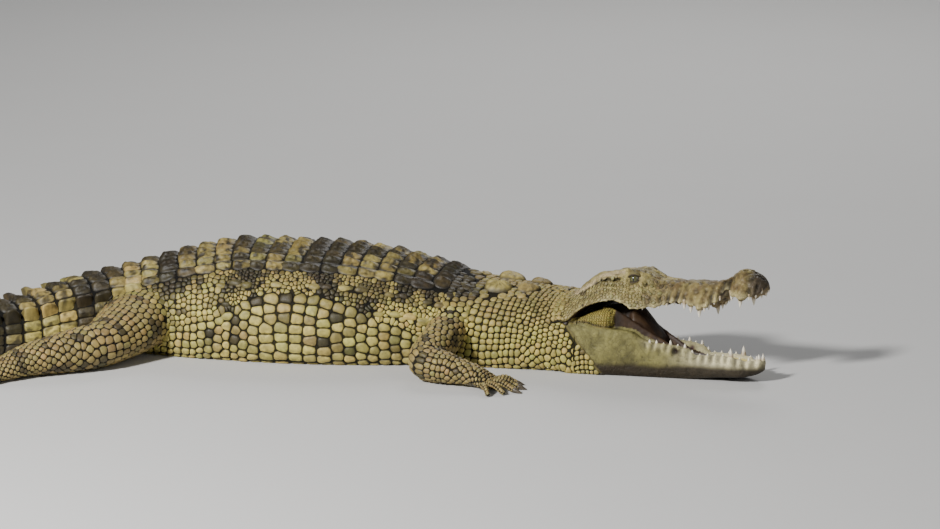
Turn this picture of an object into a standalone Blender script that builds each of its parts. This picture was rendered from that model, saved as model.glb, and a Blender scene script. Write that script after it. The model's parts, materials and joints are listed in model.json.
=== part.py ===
"""A Nile crocodile at life size, basking on its belly with its jaws open.

Metres, +Z up, head towards +X, its right side towards -Y. Every part of the body is a closed solid of
its own, parted from its neighbours by a thin cut, and what lies on the floor is cut flat at z = 0.
"""

import math

import bmesh
import bpy
from mathutils import Matrix, Vector

# ---------------------------------------------------------------- driving dimensions

GAP = 0.0003  # width of the thin cut between two solids
OVERRUN = 0.004  # a limb's lengths are made this much too long, then cut back
HEAD_TURN = math.radians(-25.0)  # heading of the head, to the animal's right
HEAD_PITCH = math.radians(11.0)  # the upper jaw is lifted by this
HEAD_ROLL = math.radians(-8.0)  # the head leans onto its left side
JAW_HINGE = Vector((0.798, -0.200, 0.141))  # midway between the two jaw joints
UPPER_JAW_LENGTH = 0.568  # hinge to snout tip, along the lifted upper jaw
LOWER_JAW_LENGTH = 0.548  # hinge to chin tip, along the floor
TAIL_TIP = -2.22
TAIL_FRONT = -0.455  # where the tail meets the trunk
TAIL_LENGTHS = ("tail_base", "tail_middle", "tail_rear", "tail_tip")
NECK_BACK = 0.46  # where the neck meets the trunk
WHORLS = 36  # rings of scales along the tail
DOUBLE_WHORLS = 19  # the crest is double on this many of them
EYE_RADIUS = 0.0185
KEEL = 0.007  # height of the keeled rows along the back

# Colours of the plain materials
HIDE = (0.30, 0.27, 0.11, 1.0)
FACE = (0.42, 0.38, 0.22, 1.0)
MOUTH = (0.55, 0.42, 0.16, 1.0)
TONGUE = (0.40, 0.26, 0.18, 1.0)
CLAW = (0.10, 0.08, 0.06, 1.0)
EYE = (0.20, 0.19, 0.07, 1.0)


# ---------------------------------------------------------------- helpers


def profile(*stations):
    """A smooth function through (place, value) pairs that doesn't overshoot between them."""
    places, values = zip(*stations)
    steps = [b - a for a, b in zip(places, places[1:])]
    rises = [(b - a) / step for a, b, step in zip(values, values[1:], steps)]
    slopes = [rises[0]]
    for before, after in zip(rises, rises[1:]):
        slopes.append(0.0 if before * after <= 0 else 2 * before * after / (before + after))
    slopes.append(rises[-1])

    def value(place):
        place = min(max(place, places[0]), places[-1])
        k = max(i for i in range(len(steps)) if places[i] <= place or i == 0)
        t = (place - places[k]) / steps[k]
        start = (1 + 2 * t) * (1 - t) ** 2 * values[k] + t * (1 - t) ** 2 * steps[k] * slopes[k]
        end = t * t * (3 - 2 * t) * values[k + 1] + t * t * (t - 1) * steps[k] * slopes[k + 1]
        return start + end

    return value


def smooth(share):
    """Eases 0 to 1."""
    share = min(max(share, 0.0), 1.0)
    return share * share * (3 - 2 * share)


def hump(distance, width):
    """1 at no distance, falling away smoothly over width."""
    return math.exp(-((distance / width) ** 2))


def squircle(angle, power):
    """The unit superellipse: a circle at power 2, boxier above it."""
    c, s = math.cos(angle), math.sin(angle)
    return (
        math.copysign(abs(c) ** (2 / power), c),
        math.copysign(abs(s) ** (2 / power), s),
    )


def material(name, colour, roughness):
    finish = bpy.data.materials.get(name)
    if finish is None:
        finish = bpy.data.materials.new(name)
        finish.use_nodes = True
        shader = finish.node_tree.nodes["Principled BSDF"]
        shader.inputs["Base Color"].default_value = colour
        shader.inputs["Roughness"].default_value = roughness
        finish.diffuse_color = colour
    return finish


def tube(place, along, around):
    """A closed tube: place(u, v) is the point at share u of its length and share v of the way round."""
    bm = bmesh.new()
    bmesh.ops.create_grid(bm, x_segments=along, y_segments=around, size=0.5)
    for vert in bm.verts:
        vert.co = place(vert.co.x + 0.5, vert.co.y + 0.5)
    bmesh.ops.remove_doubles(bm, verts=bm.verts, dist=1e-6)
    close(bm)
    return bm


def close(bm):
    """Caps every open loop and turns all faces outwards."""
    bmesh.ops.edgeloop_fill(bm, edges=[edge for edge in bm.edges if edge.is_boundary])
    bmesh.ops.recalc_face_normals(bm, faces=bm.faces)


def trim(bm, point, outward):
    """Cuts away what lies beyond the plane through point, and caps the cut."""
    bmesh.ops.bisect_plane(
        bm,
        geom=bm.verts[:] + bm.edges[:] + bm.faces[:],
        dist=1e-7,
        plane_co=point,
        plane_no=outward,
        clear_outer=True,
    )
    close(bm)


def rest_on_floor(bm):
    trim(bm, (0, 0, 0), (0, 0, -1))


def solid(name, bm, finish):
    """Makes an object of the bmesh."""
    mesh = bpy.data.meshes.new(name)
    bm.to_mesh(mesh)
    bm.free()
    mesh.shade_smooth()
    mesh.set_sharp_from_angle(angle=math.radians(40))
    mesh.materials.append(finish)
    made = bpy.data.objects.new(name, mesh)
    bpy.context.scene.collection.objects.link(made)
    return made


def as_tool(tool):
    """Keeps a cutter or a joined piece out of the model."""
    tool.hide_render = True
    tool.display_type = "WIRE"
    return tool


def grown(name, bm):
    """A cutter that stands one gap proud of the bmesh's surface all over."""
    tool = as_tool(solid(name, bm, material("hide", HIDE, 0.6)))
    swell = tool.modifiers.new("gap", "DISPLACE")
    swell.mid_level = 0.0
    swell.strength = GAP
    return tool


def boolean(body, tool, operation):
    step = body.modifiers.new(tool.name, "BOOLEAN")
    step.operation = operation
    step.solver = "EXACT"
    step.object = tool


# ---------------------------------------------------------------- neck, trunk and tail
# One body runs from the tail tip to the jaw hinge. Its sections stand square to a spine that sways
# from side to side, so the animal is bowed with its head and tail towards its right.

SWAY = profile(
    (TAIL_TIP, -0.345), (-2.0, -0.357), (-1.7, -0.340), (-1.4, -0.280), (-1.1, -0.180),
    (-0.84, -0.075), (-0.65, -0.005), (-0.45, 0.040), (-0.20, 0.042), (0.0, 0.020), (0.20, -0.010),
    (0.40, -0.055), (0.60, -0.118), (0.70, -0.156), (JAW_HINGE.x, JAW_HINGE.y),
)  # fmt: skip
HALF_WIDTH = profile(
    (TAIL_TIP, 0.006), (-2.0, 0.019), (-1.7, 0.034), (-1.4, 0.051), (-1.1, 0.071), (-0.84, 0.094),
    (-0.59, 0.126), (-0.45, 0.165), (-0.30, 0.224), (-0.12, 0.264), (0.05, 0.272), (0.20, 0.258),
    (0.34, 0.228), (0.48, 0.198), (0.62, 0.180), (JAW_HINGE.x, 0.149),
)  # fmt: skip
TOP = profile(
    (TAIL_TIP, 0.014), (-2.0, 0.043), (-1.7, 0.074), (-1.4, 0.098), (-1.1, 0.120), (-0.84, 0.138),
    (-0.78, 0.146), (-0.70, 0.172), (-0.59, 0.198), (-0.46, 0.222), (-0.30, 0.264), (-0.15, 0.286),
    (0.10, 0.283), (0.28, 0.264), (0.42, 0.236), (0.52, 0.216), (0.66, 0.208), (JAW_HINGE.x, 0.204),
)  # fmt: skip
WIDEST_LEVEL = profile(
    (TAIL_TIP, 0.006), (-1.7, 0.034), (-1.1, 0.055), (-0.59, 0.085), (-0.2, 0.095), (0.1, 0.090),
    (0.45, 0.082), (JAW_HINGE.x, 0.085),
)  # fmt: skip
BELLY = profile(
    (TAIL_TIP, -0.001), (-1.4, -0.005), (-0.6, -0.012), (-0.3, -0.032), (0.0, -0.036), (0.6, -0.036),
    (JAW_HINGE.x, -0.030),
)  # fmt: skip
CREST = profile(
    (TAIL_TIP, 0.010), (-2.0, 0.034), (-1.6, 0.042), (-1.2, 0.036), (-0.84, 0.023), (-0.5, 0.011),
)  # fmt: skip


def heading(x):
    """The way the spine runs at x, as an angle about +Z."""
    step = 0.004
    low, high = max(x - step, TAIL_TIP), min(x + step, JAW_HINGE.x)
    return HEAD_TURN if x >= JAW_HINGE.x - step else math.atan((SWAY(high) - SWAY(low)) / (high - low))


def section(x, turn, lift=0.0):
    """The point of the body's skin at x, turned from its left side over the back, raised by lift."""
    square_top = 2.35
    square_belly = 3.6
    across, up = squircle(turn, square_top if math.sin(turn) > 0 else square_belly)
    level = WIDEST_LEVEL(x)
    across *= HALF_WIDTH(x)
    up = up * ((TOP(x) - level) if up > 0 else (level - BELLY(x))) + lift
    roll = HEAD_ROLL * smooth((x - NECK_BACK) / (JAW_HINGE.x - NECK_BACK))
    side = Vector((-math.sin(heading(x)), math.cos(heading(x)), 0.0))
    point = Vector((x, SWAY(x), level)) + side * (across * math.cos(roll) - up * math.sin(roll))
    return point + Vector((0, 0, across * math.sin(roll) + up * math.cos(roll)))


def body_length(name, front, back, along, around):
    """A length of neck or trunk, with keeled rows of scutes along its back."""

    def place(u, v):
        x = front - GAP / 2 + (back - front + GAP) * u
        turn = 2 * math.pi * v
        row = round(v * around)
        on_back = math.sin(turn) > 0.55
        return section(x, turn, KEEL / 2 * (1 if row % 2 else -1) if on_back else 0.0)

    bm = tube(place, along, around)
    rest_on_floor(bm)
    return solid(name, bm, material("hide", HIDE, 0.6))


def whorl_edges():
    """The rings' places along the tail, set closer towards the tip."""
    first, closing = TAIL_FRONT, 0.045
    shares = [k / WHORLS for k in range(WHORLS + 1)]
    return [first + (TAIL_TIP - first) * (k + closing * k * (1 - k)) for k in shares]


def tail_length(name, number):
    """A length of tail. Each whorl of its crest rises from front to back, like a saw."""
    share = WHORLS // len(TAIL_LENGTHS)
    edges = whorl_edges()[number * share : (number + 1) * share + 1]
    turns = (0, 32, 62, 90, 118, 148, 180, 212, 248, 292, 328, 360)
    top = turns.index(90)
    stations = []
    for k, (front, back) in enumerate(zip(edges, edges[1:])):
        single = number * share + k >= DOUBLE_WHORLS
        lip = 0.06 * (back - front)
        stations += [(front + lip, 0.3, single), (back - lip / 2, 1.0, single)]
    stations[0] = (edges[0] - GAP / 2, 0.3, stations[0][2])
    stations[-1] = (edges[-1] + GAP / 2, 1.0, stations[-1][2])

    def place(u, v):
        x, rise, single = stations[round(u * (len(stations) - 1))]
        row = round(v * (len(turns) - 1))
        crest = row == top if single else abs(row - top) == 1
        return section(x, math.radians(turns[row]), CREST(x) * rise if crest else 0.0)

    bm = tube(place, len(stations) - 1, len(turns) - 1)
    rest_on_floor(bm)
    return solid(name, bm, material("hide", HIDE, 0.6))


# ---------------------------------------------------------------- head and jaws

HEAD = (
    Matrix.Translation(JAW_HINGE)
    @ Matrix.Rotation(HEAD_TURN, 4, "Z")
    @ Matrix.Rotation(-HEAD_PITCH, 4, "Y")
    @ Matrix.Rotation(HEAD_ROLL, 4, "X")
)
JAW_AXIS = 0.09  # the lower jaw leans about this level
JAW = (
    Matrix.Translation((JAW_HINGE.x, JAW_HINGE.y, JAW_AXIS))
    @ Matrix.Rotation(HEAD_TURN, 4, "Z")
    @ Matrix.Rotation(HEAD_ROLL, 4, "X")
    @ Matrix.Translation((0, 0, -JAW_AXIS))
)

SKULL_TOP = profile(
    (-0.06, 0.061), (0.0, 0.064), (0.04, 0.071), (0.07, 0.085), (0.09, 0.098), (0.11, 0.107),
    (0.16, 0.109), (0.20, 0.103), (0.235, 0.086), (0.262, 0.071), (0.343, 0.061), (0.435, 0.052),
    (0.48, 0.054), (0.535, 0.054), (0.558, 0.042), (UPPER_JAW_LENGTH, 0.026),
)  # fmt: skip
LIP = profile(
    (-0.06, -0.016), (0.0, -0.015), (0.047, 0.0125), (0.09, 0.026), (0.132, 0.030), (0.165, 0.019),
    (0.194, 0.0), (0.25, -0.001), (0.307, 0.006), (0.345, -0.001), (0.386, -0.0185), (0.415, -0.0085),
    (0.436, 0.0015), (0.457, 0.025), (0.481, 0.0045), (0.512, -0.003), (0.541, 0.0005),
    (UPPER_JAW_LENGTH, 0.0185),
)  # fmt: skip
SKULL_HALF_WIDTH = profile(
    (-0.06, 0.150), (0.0, 0.146), (0.05, 0.137), (0.10, 0.125), (0.15, 0.112), (0.20, 0.099),
    (0.25, 0.084), (0.307, 0.069), (0.35, 0.066), (0.386, 0.070), (0.42, 0.060), (0.457, 0.041),
    (0.48, 0.047), (0.505, 0.053), (0.535, 0.047), (0.556, 0.032), (UPPER_JAW_LENGTH, 0.010),
)  # fmt: skip
DECK_HALF_WIDTH = profile(
    (-0.06, 0.050), (0.0, 0.055), (0.05, 0.068), (0.085, 0.072), (0.16, 0.064), (0.20, 0.056),
    (0.235, 0.040), (0.30, 0.028), (0.40, 0.024), (0.457, 0.016), (0.50, 0.026), (0.54, 0.024),
    (UPPER_JAW_LENGTH, 0.005),
)  # fmt: skip
FULLNESS = profile((-0.06, 0.85), (0.0, 0.75), (0.08, 0.25), (0.18, 0.2), (0.28, 0.8), (0.5, 1.0))
BROW = Vector((0.205, 0.050, 0.006))  # place along and across the skull, and height
NOSE = Vector((0.505, 0.0, 0.026))
EYE_PLACE = Vector((0.192, 0.056, 0.0825))

JAW_TOP = profile(
    (0.0, 0.120), (0.05, 0.126), (0.09, 0.117), (0.147, 0.116), (0.18, 0.112), (0.20, 0.100),
    (0.24, 0.087), (0.30, 0.0855), (0.34, 0.080), (0.36, 0.0635), (0.395, 0.0655), (0.45, 0.0675),
    (0.487, 0.0630), (0.505, 0.0585), (0.523, 0.0620), (LOWER_JAW_LENGTH, 0.062),
)  # fmt: skip
JAW_BOTTOM = profile(
    (0.0, -0.032), (0.20, -0.024), (0.35, -0.006), (0.42, 0.004), (0.50, 0.012),
    (LOWER_JAW_LENGTH, 0.034),
)  # fmt: skip
JAW_HALF_WIDTH = profile(
    (0.0, 0.145), (0.06, 0.134), (0.12, 0.120), (0.18, 0.101), (0.24, 0.086), (0.33, 0.070),
    (0.42, 0.057), (0.458, 0.055), (0.50, 0.043), (0.53, 0.028), (LOWER_JAW_LENGTH, 0.008),
)  # fmt: skip
JAW_WALL = profile((0.0, 0.045), (0.15, 0.036), (0.30, 0.024), (0.45, 0.019), (0.53, 0.012))
TROUGH_FLOOR = profile(
    (0.0, 0.118), (0.02, 0.105), (0.07, 0.070), (0.16, 0.054), (0.34, 0.046), (0.40, 0.050),
    (0.50, 0.048), (LOWER_JAW_LENGTH, 0.050),
)  # fmt: skip


def skull_half(x, s):
    """Across and up at share s of the way from the skull's top midline round its side to the palate."""
    top, lip = SKULL_TOP(x), LIP(x)
    wide, deck = SKULL_HALF_WIDTH(x), DECK_HALF_WIDTH(x)
    lip_turn = 0.012
    palate_rise = 0.014
    if s < 0.25:
        across, up = deck * s / 0.25, top
    elif s < 0.72:
        down = (s - 0.25) / 0.47
        bend = down * math.pi / 2
        full = FULLNESS(x)
        across = deck + (wide - deck) * (down + full * (math.sin(bend) - down))
        up = lip + (top - lip) * (1 - down + full * (math.cos(bend) - 1 + down))
    elif s < 0.85:
        inwards = (s - 0.72) / 0.13
        across, up = wide - lip_turn * inwards, lip + 0.003 * inwards
    else:
        inwards = (s - 0.85) / 0.15
        across = (wide - lip_turn) * (1 - inwards)
        up = lip + 0.003 + (palate_rise - 0.003) * smooth(inwards)
    if s < 0.72:
        brow = BROW.z * hump(x - BROW.x, 0.034) * hump(across - BROW.y, 0.022)
        nose = NOSE.z * hump(x - NOSE.x, 0.032) * hump(across - NOSE.y, 0.036)
        up += brow + nose
    return across, up


def teeth(name, rows, frame, down):
    """All the teeth of one jaw as curved pegs. A row holds (place, across, gum level, length, radius)."""
    joined = bmesh.new()
    root = 0.009
    for along, across, gum, length, radius in rows:
        for side in (-1, 1):

            def place(u, v):
                turn = 2 * math.pi * v
                thick = radius * (1 - 0.93 * u**1.6)
                lean = 0.10 * u * length
                return frame @ Vector(
                    (
                        along + thick * math.cos(turn) - 0.12 * length * u * u,
                        side * (across + lean) + thick * math.sin(turn),
                        gum + (-1 if down else 1) * (u * (length + root) - root),
                    )
                )

            peg = tube(place, 2, 5) if length > 0.0135 else tube(place, 1, 4)
            mesh = bpy.data.meshes.new(name)
            peg.to_mesh(mesh)
            peg.free()
            joined.from_mesh(mesh)
            bpy.data.meshes.remove(mesh)
    return as_tool(solid(name, joined, material("face", FACE, 0.5)))


def upper_teeth():
    """Five in each side of the snout tip, then thirteen along each side, the fifth of them longest."""
    front = [(0.556, 0.010), (0.541, 0.013), (0.514, 0.022), (0.490, 0.022), (0.474, 0.009)]
    side = [0.009, 0.012, 0.015, 0.019, 0.024, 0.018, 0.013, 0.011, 0.012, 0.013, 0.010, 0.008, 0.006]
    places = [0.436, 0.422, 0.407, 0.3955, 0.380, 0.359, 0.340, 0.321, 0.302, 0.281, 0.260, 0.239, 0.218]
    rows = []
    for x, length in front + list(zip(places, side)):
        rows.append((x, SKULL_HALF_WIDTH(x) - 0.008, LIP(x) + 0.001, length, 0.0035 + length * 0.13))
    return teeth("upper_teeth", rows, HEAD, True)


def lower_teeth():
    """Fifteen along each side: the first and fourth from the tip are the long ones."""
    lengths = [0.019, 0.009, 0.009, 0.027, 0.010, 0.009, 0.009, 0.010, 0.012, 0.013, 0.014, 0.013]
    lengths += [0.010, 0.008, 0.006]
    rows = []
    for k, length in enumerate(lengths):
        t = 0.536 - 0.0245 * k + 0.0002 * k * k
        rows.append((t, JAW_HALF_WIDTH(t) - 0.009, JAW_TOP(t) - 0.001, length, 0.0035 + length * 0.12))
    return teeth("lower_teeth", rows, JAW, False)


def head_and_eyes():
    """The skull with its upper jaw and teeth, and the two eyes in their sockets."""

    def place(u, v):
        x = -0.06 + (UPPER_JAW_LENGTH + 0.06) * (1 - (1 - u) ** 1.3)
        s = abs(2 * v - 1)
        across, up = skull_half(x, s)
        return HEAD @ Vector((x, across if v > 0.5 else -across, up))

    bm = tube(place, 25, 22)
    forward = HEAD.to_3x3() @ Vector((1, 0, 0))
    forward.z = 0
    forward.normalize()
    trim(bm, JAW_HINGE + forward * GAP / 2, -forward)
    head = solid("head", bm, material("face", FACE, 0.6))
    boolean(head, upper_teeth(), "UNION")
    for name, side in (("right", -1), ("left", 1)):
        centre = HEAD @ Vector((EYE_PLACE.x, side * EYE_PLACE.y, EYE_PLACE.z))
        for part, radius in (("socket_", EYE_RADIUS + GAP), ("eye_", EYE_RADIUS)):
            ball = bmesh.new()
            bmesh.ops.create_uvsphere(
                ball,
                u_segments=10,
                v_segments=7,
                radius=radius,
                matrix=Matrix.Translation(centre) @ HEAD.to_3x3().to_4x4(),
            )
            made = solid(part + name, ball, material("eye", EYE, 0.1))
            if part == "socket_":
                boolean(head, as_tool(made), "DIFFERENCE")
    return head


def jaw_half(t, s):
    """Across and up at share s from the chin's midline round the outside and over into the mouth."""
    top, bottom, floor = JAW_TOP(t), JAW_BOTTOM(t), TROUGH_FLOOR(t)
    wide = JAW_HALF_WIDTH(t)
    inner = max(wide - JAW_WALL(t), 0.25 * wide)
    outline = (
        (0.0, bottom),
        (0.74 * wide, bottom),
        (0.94 * wide, bottom + 0.17 * (top - bottom)),
        (wide, bottom + 0.48 * (top - bottom)),
        (wide - 0.001, top - 0.10 * (top - bottom)),
        (wide - 0.22 * (wide - inner), top),
        (wide - 0.75 * (wide - inner), top - 0.001),
        (inner, top - 0.30 * (top - floor)),
        (0.86 * inner, floor + 0.10 * (top - floor)),
        (0.5 * inner, floor),
        (0.0, floor),
    )
    return outline[round(s * (len(outline) - 1))]


def lower_jaw_bmesh():
    """The lower jaw: two rami and a flat chin, with a trough between them for the tongue."""

    def place(u, v):
        t = GAP / 2 + (LOWER_JAW_LENGTH - GAP / 2) * (1 - (1 - u) ** 1.25)
        s = abs(2 * v - 1)
        across, up = jaw_half(t, s)
        return JAW @ Vector((t, across if v > 0.5 else -across, up))

    bm = tube(place, 19, 20)
    rest_on_floor(bm)
    return bm


def tongue():
    """A broad flat tongue, fixed all along the trough of the lower jaw."""

    def place(u, v):
        t = 0.055 + 0.365 * u
        plump = math.sin(math.pi * min(max(u, 0.03), 0.97)) ** 0.45
        inner = JAW_HALF_WIDTH(t) - JAW_WALL(t)
        across, up = squircle(2 * math.pi * v, 2.6)
        return JAW @ Vector(
            (t, across * inner * 0.72 * plump, TROUGH_FLOOR(t) + 0.002 + (0.016 * up * plump))
        )

    made = solid("tongue", tube(place, 6, 8), material("tongue", TONGUE, 0.4))
    bed = grown("tongue_bed", lower_jaw_bmesh())
    bed.modifiers["gap"].strength = 2 * GAP
    boolean(made, bed, "DIFFERENCE")
    return made


def mouth_corner(name, side):
    """The muscle under scaled skin that shows between the jaws at each corner of the mouth."""

    def place(u, v):
        t = 0.020 + 0.124 * u
        top = profile((0.0, 0.124), (0.02, 0.131), (0.05, 0.148), (0.10, 0.168), (0.15, 0.174))(t)
        low = JAW_TOP(t) + 2 * GAP
        across, up = squircle(2 * math.pi * v, 2.3)
        middle = (top + low) / 2
        inwards = JAW_HALF_WIDTH(t) - 0.036
        return JAW @ Vector(
            (t, side * (inwards + 0.026 * across - 0.10 * (top - low) * up), middle + (top - low) / 2 * up)
        )

    return solid(name, tube(place, 5, 10), material("mouth", MOUTH, 0.5))


def mouth_lining():
    """The flesh that closes the back of the mouth and slopes down on to the root of the tongue."""
    tops = profile((0.0, 0.126), (0.05, 0.155), (0.10, 0.178), (0.145, 0.186), (0.175, 0.163),
                   (0.21, 0.127), (0.24, 0.092))  # fmt: skip
    insets = profile((0.0, 0.074), (0.10, 0.068), (0.147, 0.068), (0.17, 0.045), (0.24, 0.042))

    def place(u, v):
        t = 0.012 + 0.226 * u
        top, low = tops(t), TROUGH_FLOOR(t) + 0.024
        across, up = squircle(2 * math.pi * v, 3.0)
        half = (top - low) / 2
        return JAW @ Vector((t, across * (JAW_HALF_WIDTH(t) - insets(t)), low + half + up * half))

    return solid("mouth_lining", tube(place, 7, 10), material("tongue", TONGUE, 0.4))


# ---------------------------------------------------------------- legs and feet


class Limb:
    """A leg from its root inside the body to its knuckles: three straight bones with bent joints."""

    def __init__(self, *joints):
        self.joints = [Vector(joint) for joint in joints]
        self.bones = [(b - a).normalized() for a, b in zip(self.joints, self.joints[1:])]

    def facing(self, joint):
        """The tangent at a joint, halfway between its two bones."""
        before = self.bones[max(joint - 1, 0)]
        after = self.bones[min(joint, len(self.bones) - 1)]
        return (before + after).normalized()

    def ring(self, bone, u, v, wide, thick):
        """A point of the skin at share u along a bone and share v round it."""
        start, end, way = self.joints[bone], self.joints[bone + 1], self.bones[bone]
        tangent = way + (self.facing(bone) - way) * smooth(1 - u / 0.4)
        tangent = (tangent + (self.facing(bone + 1) - way) * smooth((u - 0.6) / 0.4)).normalized()
        side = tangent.cross(Vector((0, 0, 1))).normalized()
        up = side.cross(tangent)
        turn = 2 * math.pi * v
        centre = start.lerp(end, u) + tangent * OVERRUN * (2 * u - 1)
        return centre + side * wide * math.cos(turn) + up * thick * math.sin(turn)


def limb_length(limb, bone, wide, thick, along, around):
    """One length of a leg, cut off square at its joints; wide and thick are its half sizes."""
    bm = tube(lambda u, v: limb.ring(bone, u, v, wide(u), thick(u)), along, around)
    if bone > 0:
        square = limb.facing(bone)
        trim(bm, limb.joints[bone] + square * GAP / 2, -square)
    if bone < 2:
        square = limb.facing(bone + 1)
        trim(bm, limb.joints[bone + 1] - square * GAP / 2, square)
    return bm


def digit(name, root, tip, arch, radius):
    """One toe as a tapered tube that arches over its knuckle, and the direction of its end."""
    bend = Vector((0, 0, arch))

    def middle(u):
        return root.lerp(tip, u) + bend * math.sin(math.pi * min(u * 1.15, 1.0))

    def place(u, v):
        tangent = (middle(min(u + 0.06, 1.0)) - middle(max(u - 0.06, 0.0))).normalized()
        side = tangent.cross(Vector((0, 0, 1))).normalized()
        up = side.cross(tangent)
        knuckle = 1 + 0.10 * math.cos(4 * math.pi * u)
        thick = radius * (1 - 0.38 * u) * knuckle
        turn = 2 * math.pi * v
        return middle(u) + side * thick * math.cos(turn) + up * thick * 0.85 * math.sin(turn)

    end = (middle(1.0) - middle(0.9)).normalized()
    return as_tool(solid(name, tube(place, 3, 6), material("hide", HIDE, 0.6))), end


def claw(name, base, way, radius, length):
    """A blunt claw that starts at the toe's end and curves down."""

    def place(u, v):
        droop = Vector((0, 0, -0.35 * length * u * u))
        centre = base + way * (GAP + length * u) + droop
        side = way.cross(Vector((0, 0, 1))).normalized()
        up = side.cross(way)
        thick = radius * (1 - 0.85 * u)
        turn = 2 * math.pi * v
        point = centre + side * thick * 0.7 * math.cos(turn) + up * thick * math.sin(turn)
        point.z = max(point.z, 0.0004 + 0.0006 * (1 + math.sin(turn)))
        return point

    return solid(name, tube(place, 2, 5), material("claw", CLAW, 0.35))


def foot(name, limb, wide, thick, web, toes):
    """Palm and toes joined in one solid, cut flat on the floor, with a claw on the inner three toes.

    A toe is (place across the knuckles from -1 outside to 1 inside, fan angle, length, radius).
    """
    palm = limb_length(limb, 2, wide, thick, 4, 10)
    way = limb.bones[2].copy()
    way.z = 0
    way.normalize()
    side = way.cross(Vector((0, 0, 1)))
    inside = web["inside"]
    made = solid(name, palm, material("hide", HIDE, 0.6))
    knuckles = limb.joints[3]
    for k, (place, fan, length, radius) in enumerate(toes):
        out = side * inside
        aim = (way * math.cos(fan) + out * math.sin(fan)).normalized()
        root = knuckles + out * place * wide(1.0) * 0.78 - way * 0.022
        root.z = 0.016
        tip = root + aim * (length + 0.022)
        tip.z = radius * 0.55
        toe, end = digit(f"{name}_toe_{k + 1}", root, tip, 0.011, radius)
        boolean(made, toe, "UNION")
        if k < 3:
            claw(f"claw_{name}_{k + 1}", tip, end, radius * 0.52, radius * 2.1)
    if web["reach"]:
        sheet = web_between(name, knuckles, way, side * inside, wide(1.0), web["reach"])
        boolean(made, sheet, "UNION")
    boolean(made, FLOOR, "DIFFERENCE")
    return made


def web_between(name, knuckles, way, out, wide, reach):
    """The skin between the hind toes, as a thin fan-shaped plate."""

    def place(u, v):
        across, up = squircle(2 * math.pi * v, 3.0)
        spread = wide * (0.85 + 0.42 * u)
        centre = knuckles - way * 0.02 + way * (reach + 0.02) * u
        point = centre + out * across * spread
        point.z = 0.010 - 0.002 * u + up * (0.006 - 0.002 * u)
        return point

    return as_tool(solid(f"{name}_web", tube(place, 2, 10), material("hide", HIDE, 0.6)))


def floor_block():
    """A cutter that fills the space under the floor."""
    bm = bmesh.new()
    slab = Matrix.Translation((-0.4, 0, -0.25)) @ Matrix.Diagonal((5, 3, 0.5, 1))
    bmesh.ops.create_cube(bm, size=1.0, matrix=slab)
    return as_tool(solid("floor", bm, material("hide", HIDE, 0.6)))


def leg(names, joints, sizes, web, toes):
    """An upper length fitted to the trunk, a lower length, and a foot."""
    limb = Limb(*joints)
    for bone in (0, 1):
        wide, thick = sizes[bone]
        bm = limb_length(limb, bone, wide, thick, 4, 12)
        rest_on_floor(bm)
        made = solid(names[bone], bm, material("hide", HIDE, 0.6))
        if bone == 0:
            boolean(made, TRUNK_SPACE, "DIFFERENCE")
            boolean(made, NECK_SPACE, "DIFFERENCE")
    foot(names[2], limb, sizes[2][0], sizes[2][1], web, toes)


FORELEG = (
    (profile((0, 0.056), (0.5, 0.054), (1, 0.050)), profile((0, 0.062), (0.5, 0.056), (1, 0.050))),
    (profile((0, 0.050), (0.35, 0.049), (0.75, 0.038), (1, 0.035)),
     profile((0, 0.050), (0.35, 0.046), (0.75, 0.034), (1, 0.029))),
    (profile((0, 0.035), (0.5, 0.044), (1, 0.048)), profile((0, 0.029), (0.5, 0.021), (1, 0.013))),
)  # fmt: skip
HINDLEG = (
    (profile((0, 0.104), (0.5, 0.098), (1, 0.068)), profile((0, 0.085), (0.5, 0.080), (1, 0.064))),
    (profile((0, 0.068), (0.35, 0.064), (0.8, 0.052), (1, 0.048)),
     profile((0, 0.064), (0.35, 0.060), (0.8, 0.049), (1, 0.045))),
    (profile((0, 0.048), (0.5, 0.052), (1, 0.056)), profile((0, 0.045), (0.5, 0.032), (1, 0.015))),
)  # fmt: skip
FORE_TOES = (
    (0.95, 0.75, 0.044, 0.0125), (0.50, 0.30, 0.058, 0.0130), (0.02, 0.02, 0.064, 0.0130),
    (-0.48, -0.28, 0.058, 0.0115), (-0.92, -0.75, 0.044, 0.0100),
)  # fmt: skip
HIND_TOES = (
    (0.90, 0.38, 0.088, 0.0140), (0.32, 0.12, 0.118, 0.0145), (-0.30, -0.12, 0.116, 0.0140),
    (-0.88, -0.42, 0.092, 0.0115),
)  # fmt: skip


# ---------------------------------------------------------------- the whole animal

for stale in list(bpy.data.objects):
    bpy.data.objects.remove(stale, do_unlink=True)

FLOOR = floor_block()


def body_space(name, front, back, along, around):
    """The neck's or trunk's own shape, one gap larger, to fit a leg to it."""

    def place(u, v):
        return section(front + (back - front) * u, 2 * math.pi * v)

    bm = tube(place, along, around)
    tool = grown(name, bm)
    tool.modifiers["gap"].strength = KEEL / 2 + GAP
    return tool


body_length("neck", JAW_HINGE.x, NECK_BACK, 5, 26)
body_length("trunk", NECK_BACK, TAIL_FRONT, 14, 30)
for number, length_name in enumerate(TAIL_LENGTHS):
    tail_length(length_name, number)
TRUNK_SPACE = body_space("trunk_space", NECK_BACK, -0.90, 24, 32)
NECK_SPACE = body_space("neck_space", JAW_HINGE.x, NECK_BACK, 6, 32)

head_and_eyes()
lower_jaw = solid("lower_jaw", lower_jaw_bmesh(), material("face", FACE, 0.6))
boolean(lower_jaw, lower_teeth(), "UNION")
tongue()
mouth_corner("mouth_corner_right", -1)
mouth_corner("mouth_corner_left", 1)
mouth_lining()

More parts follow.
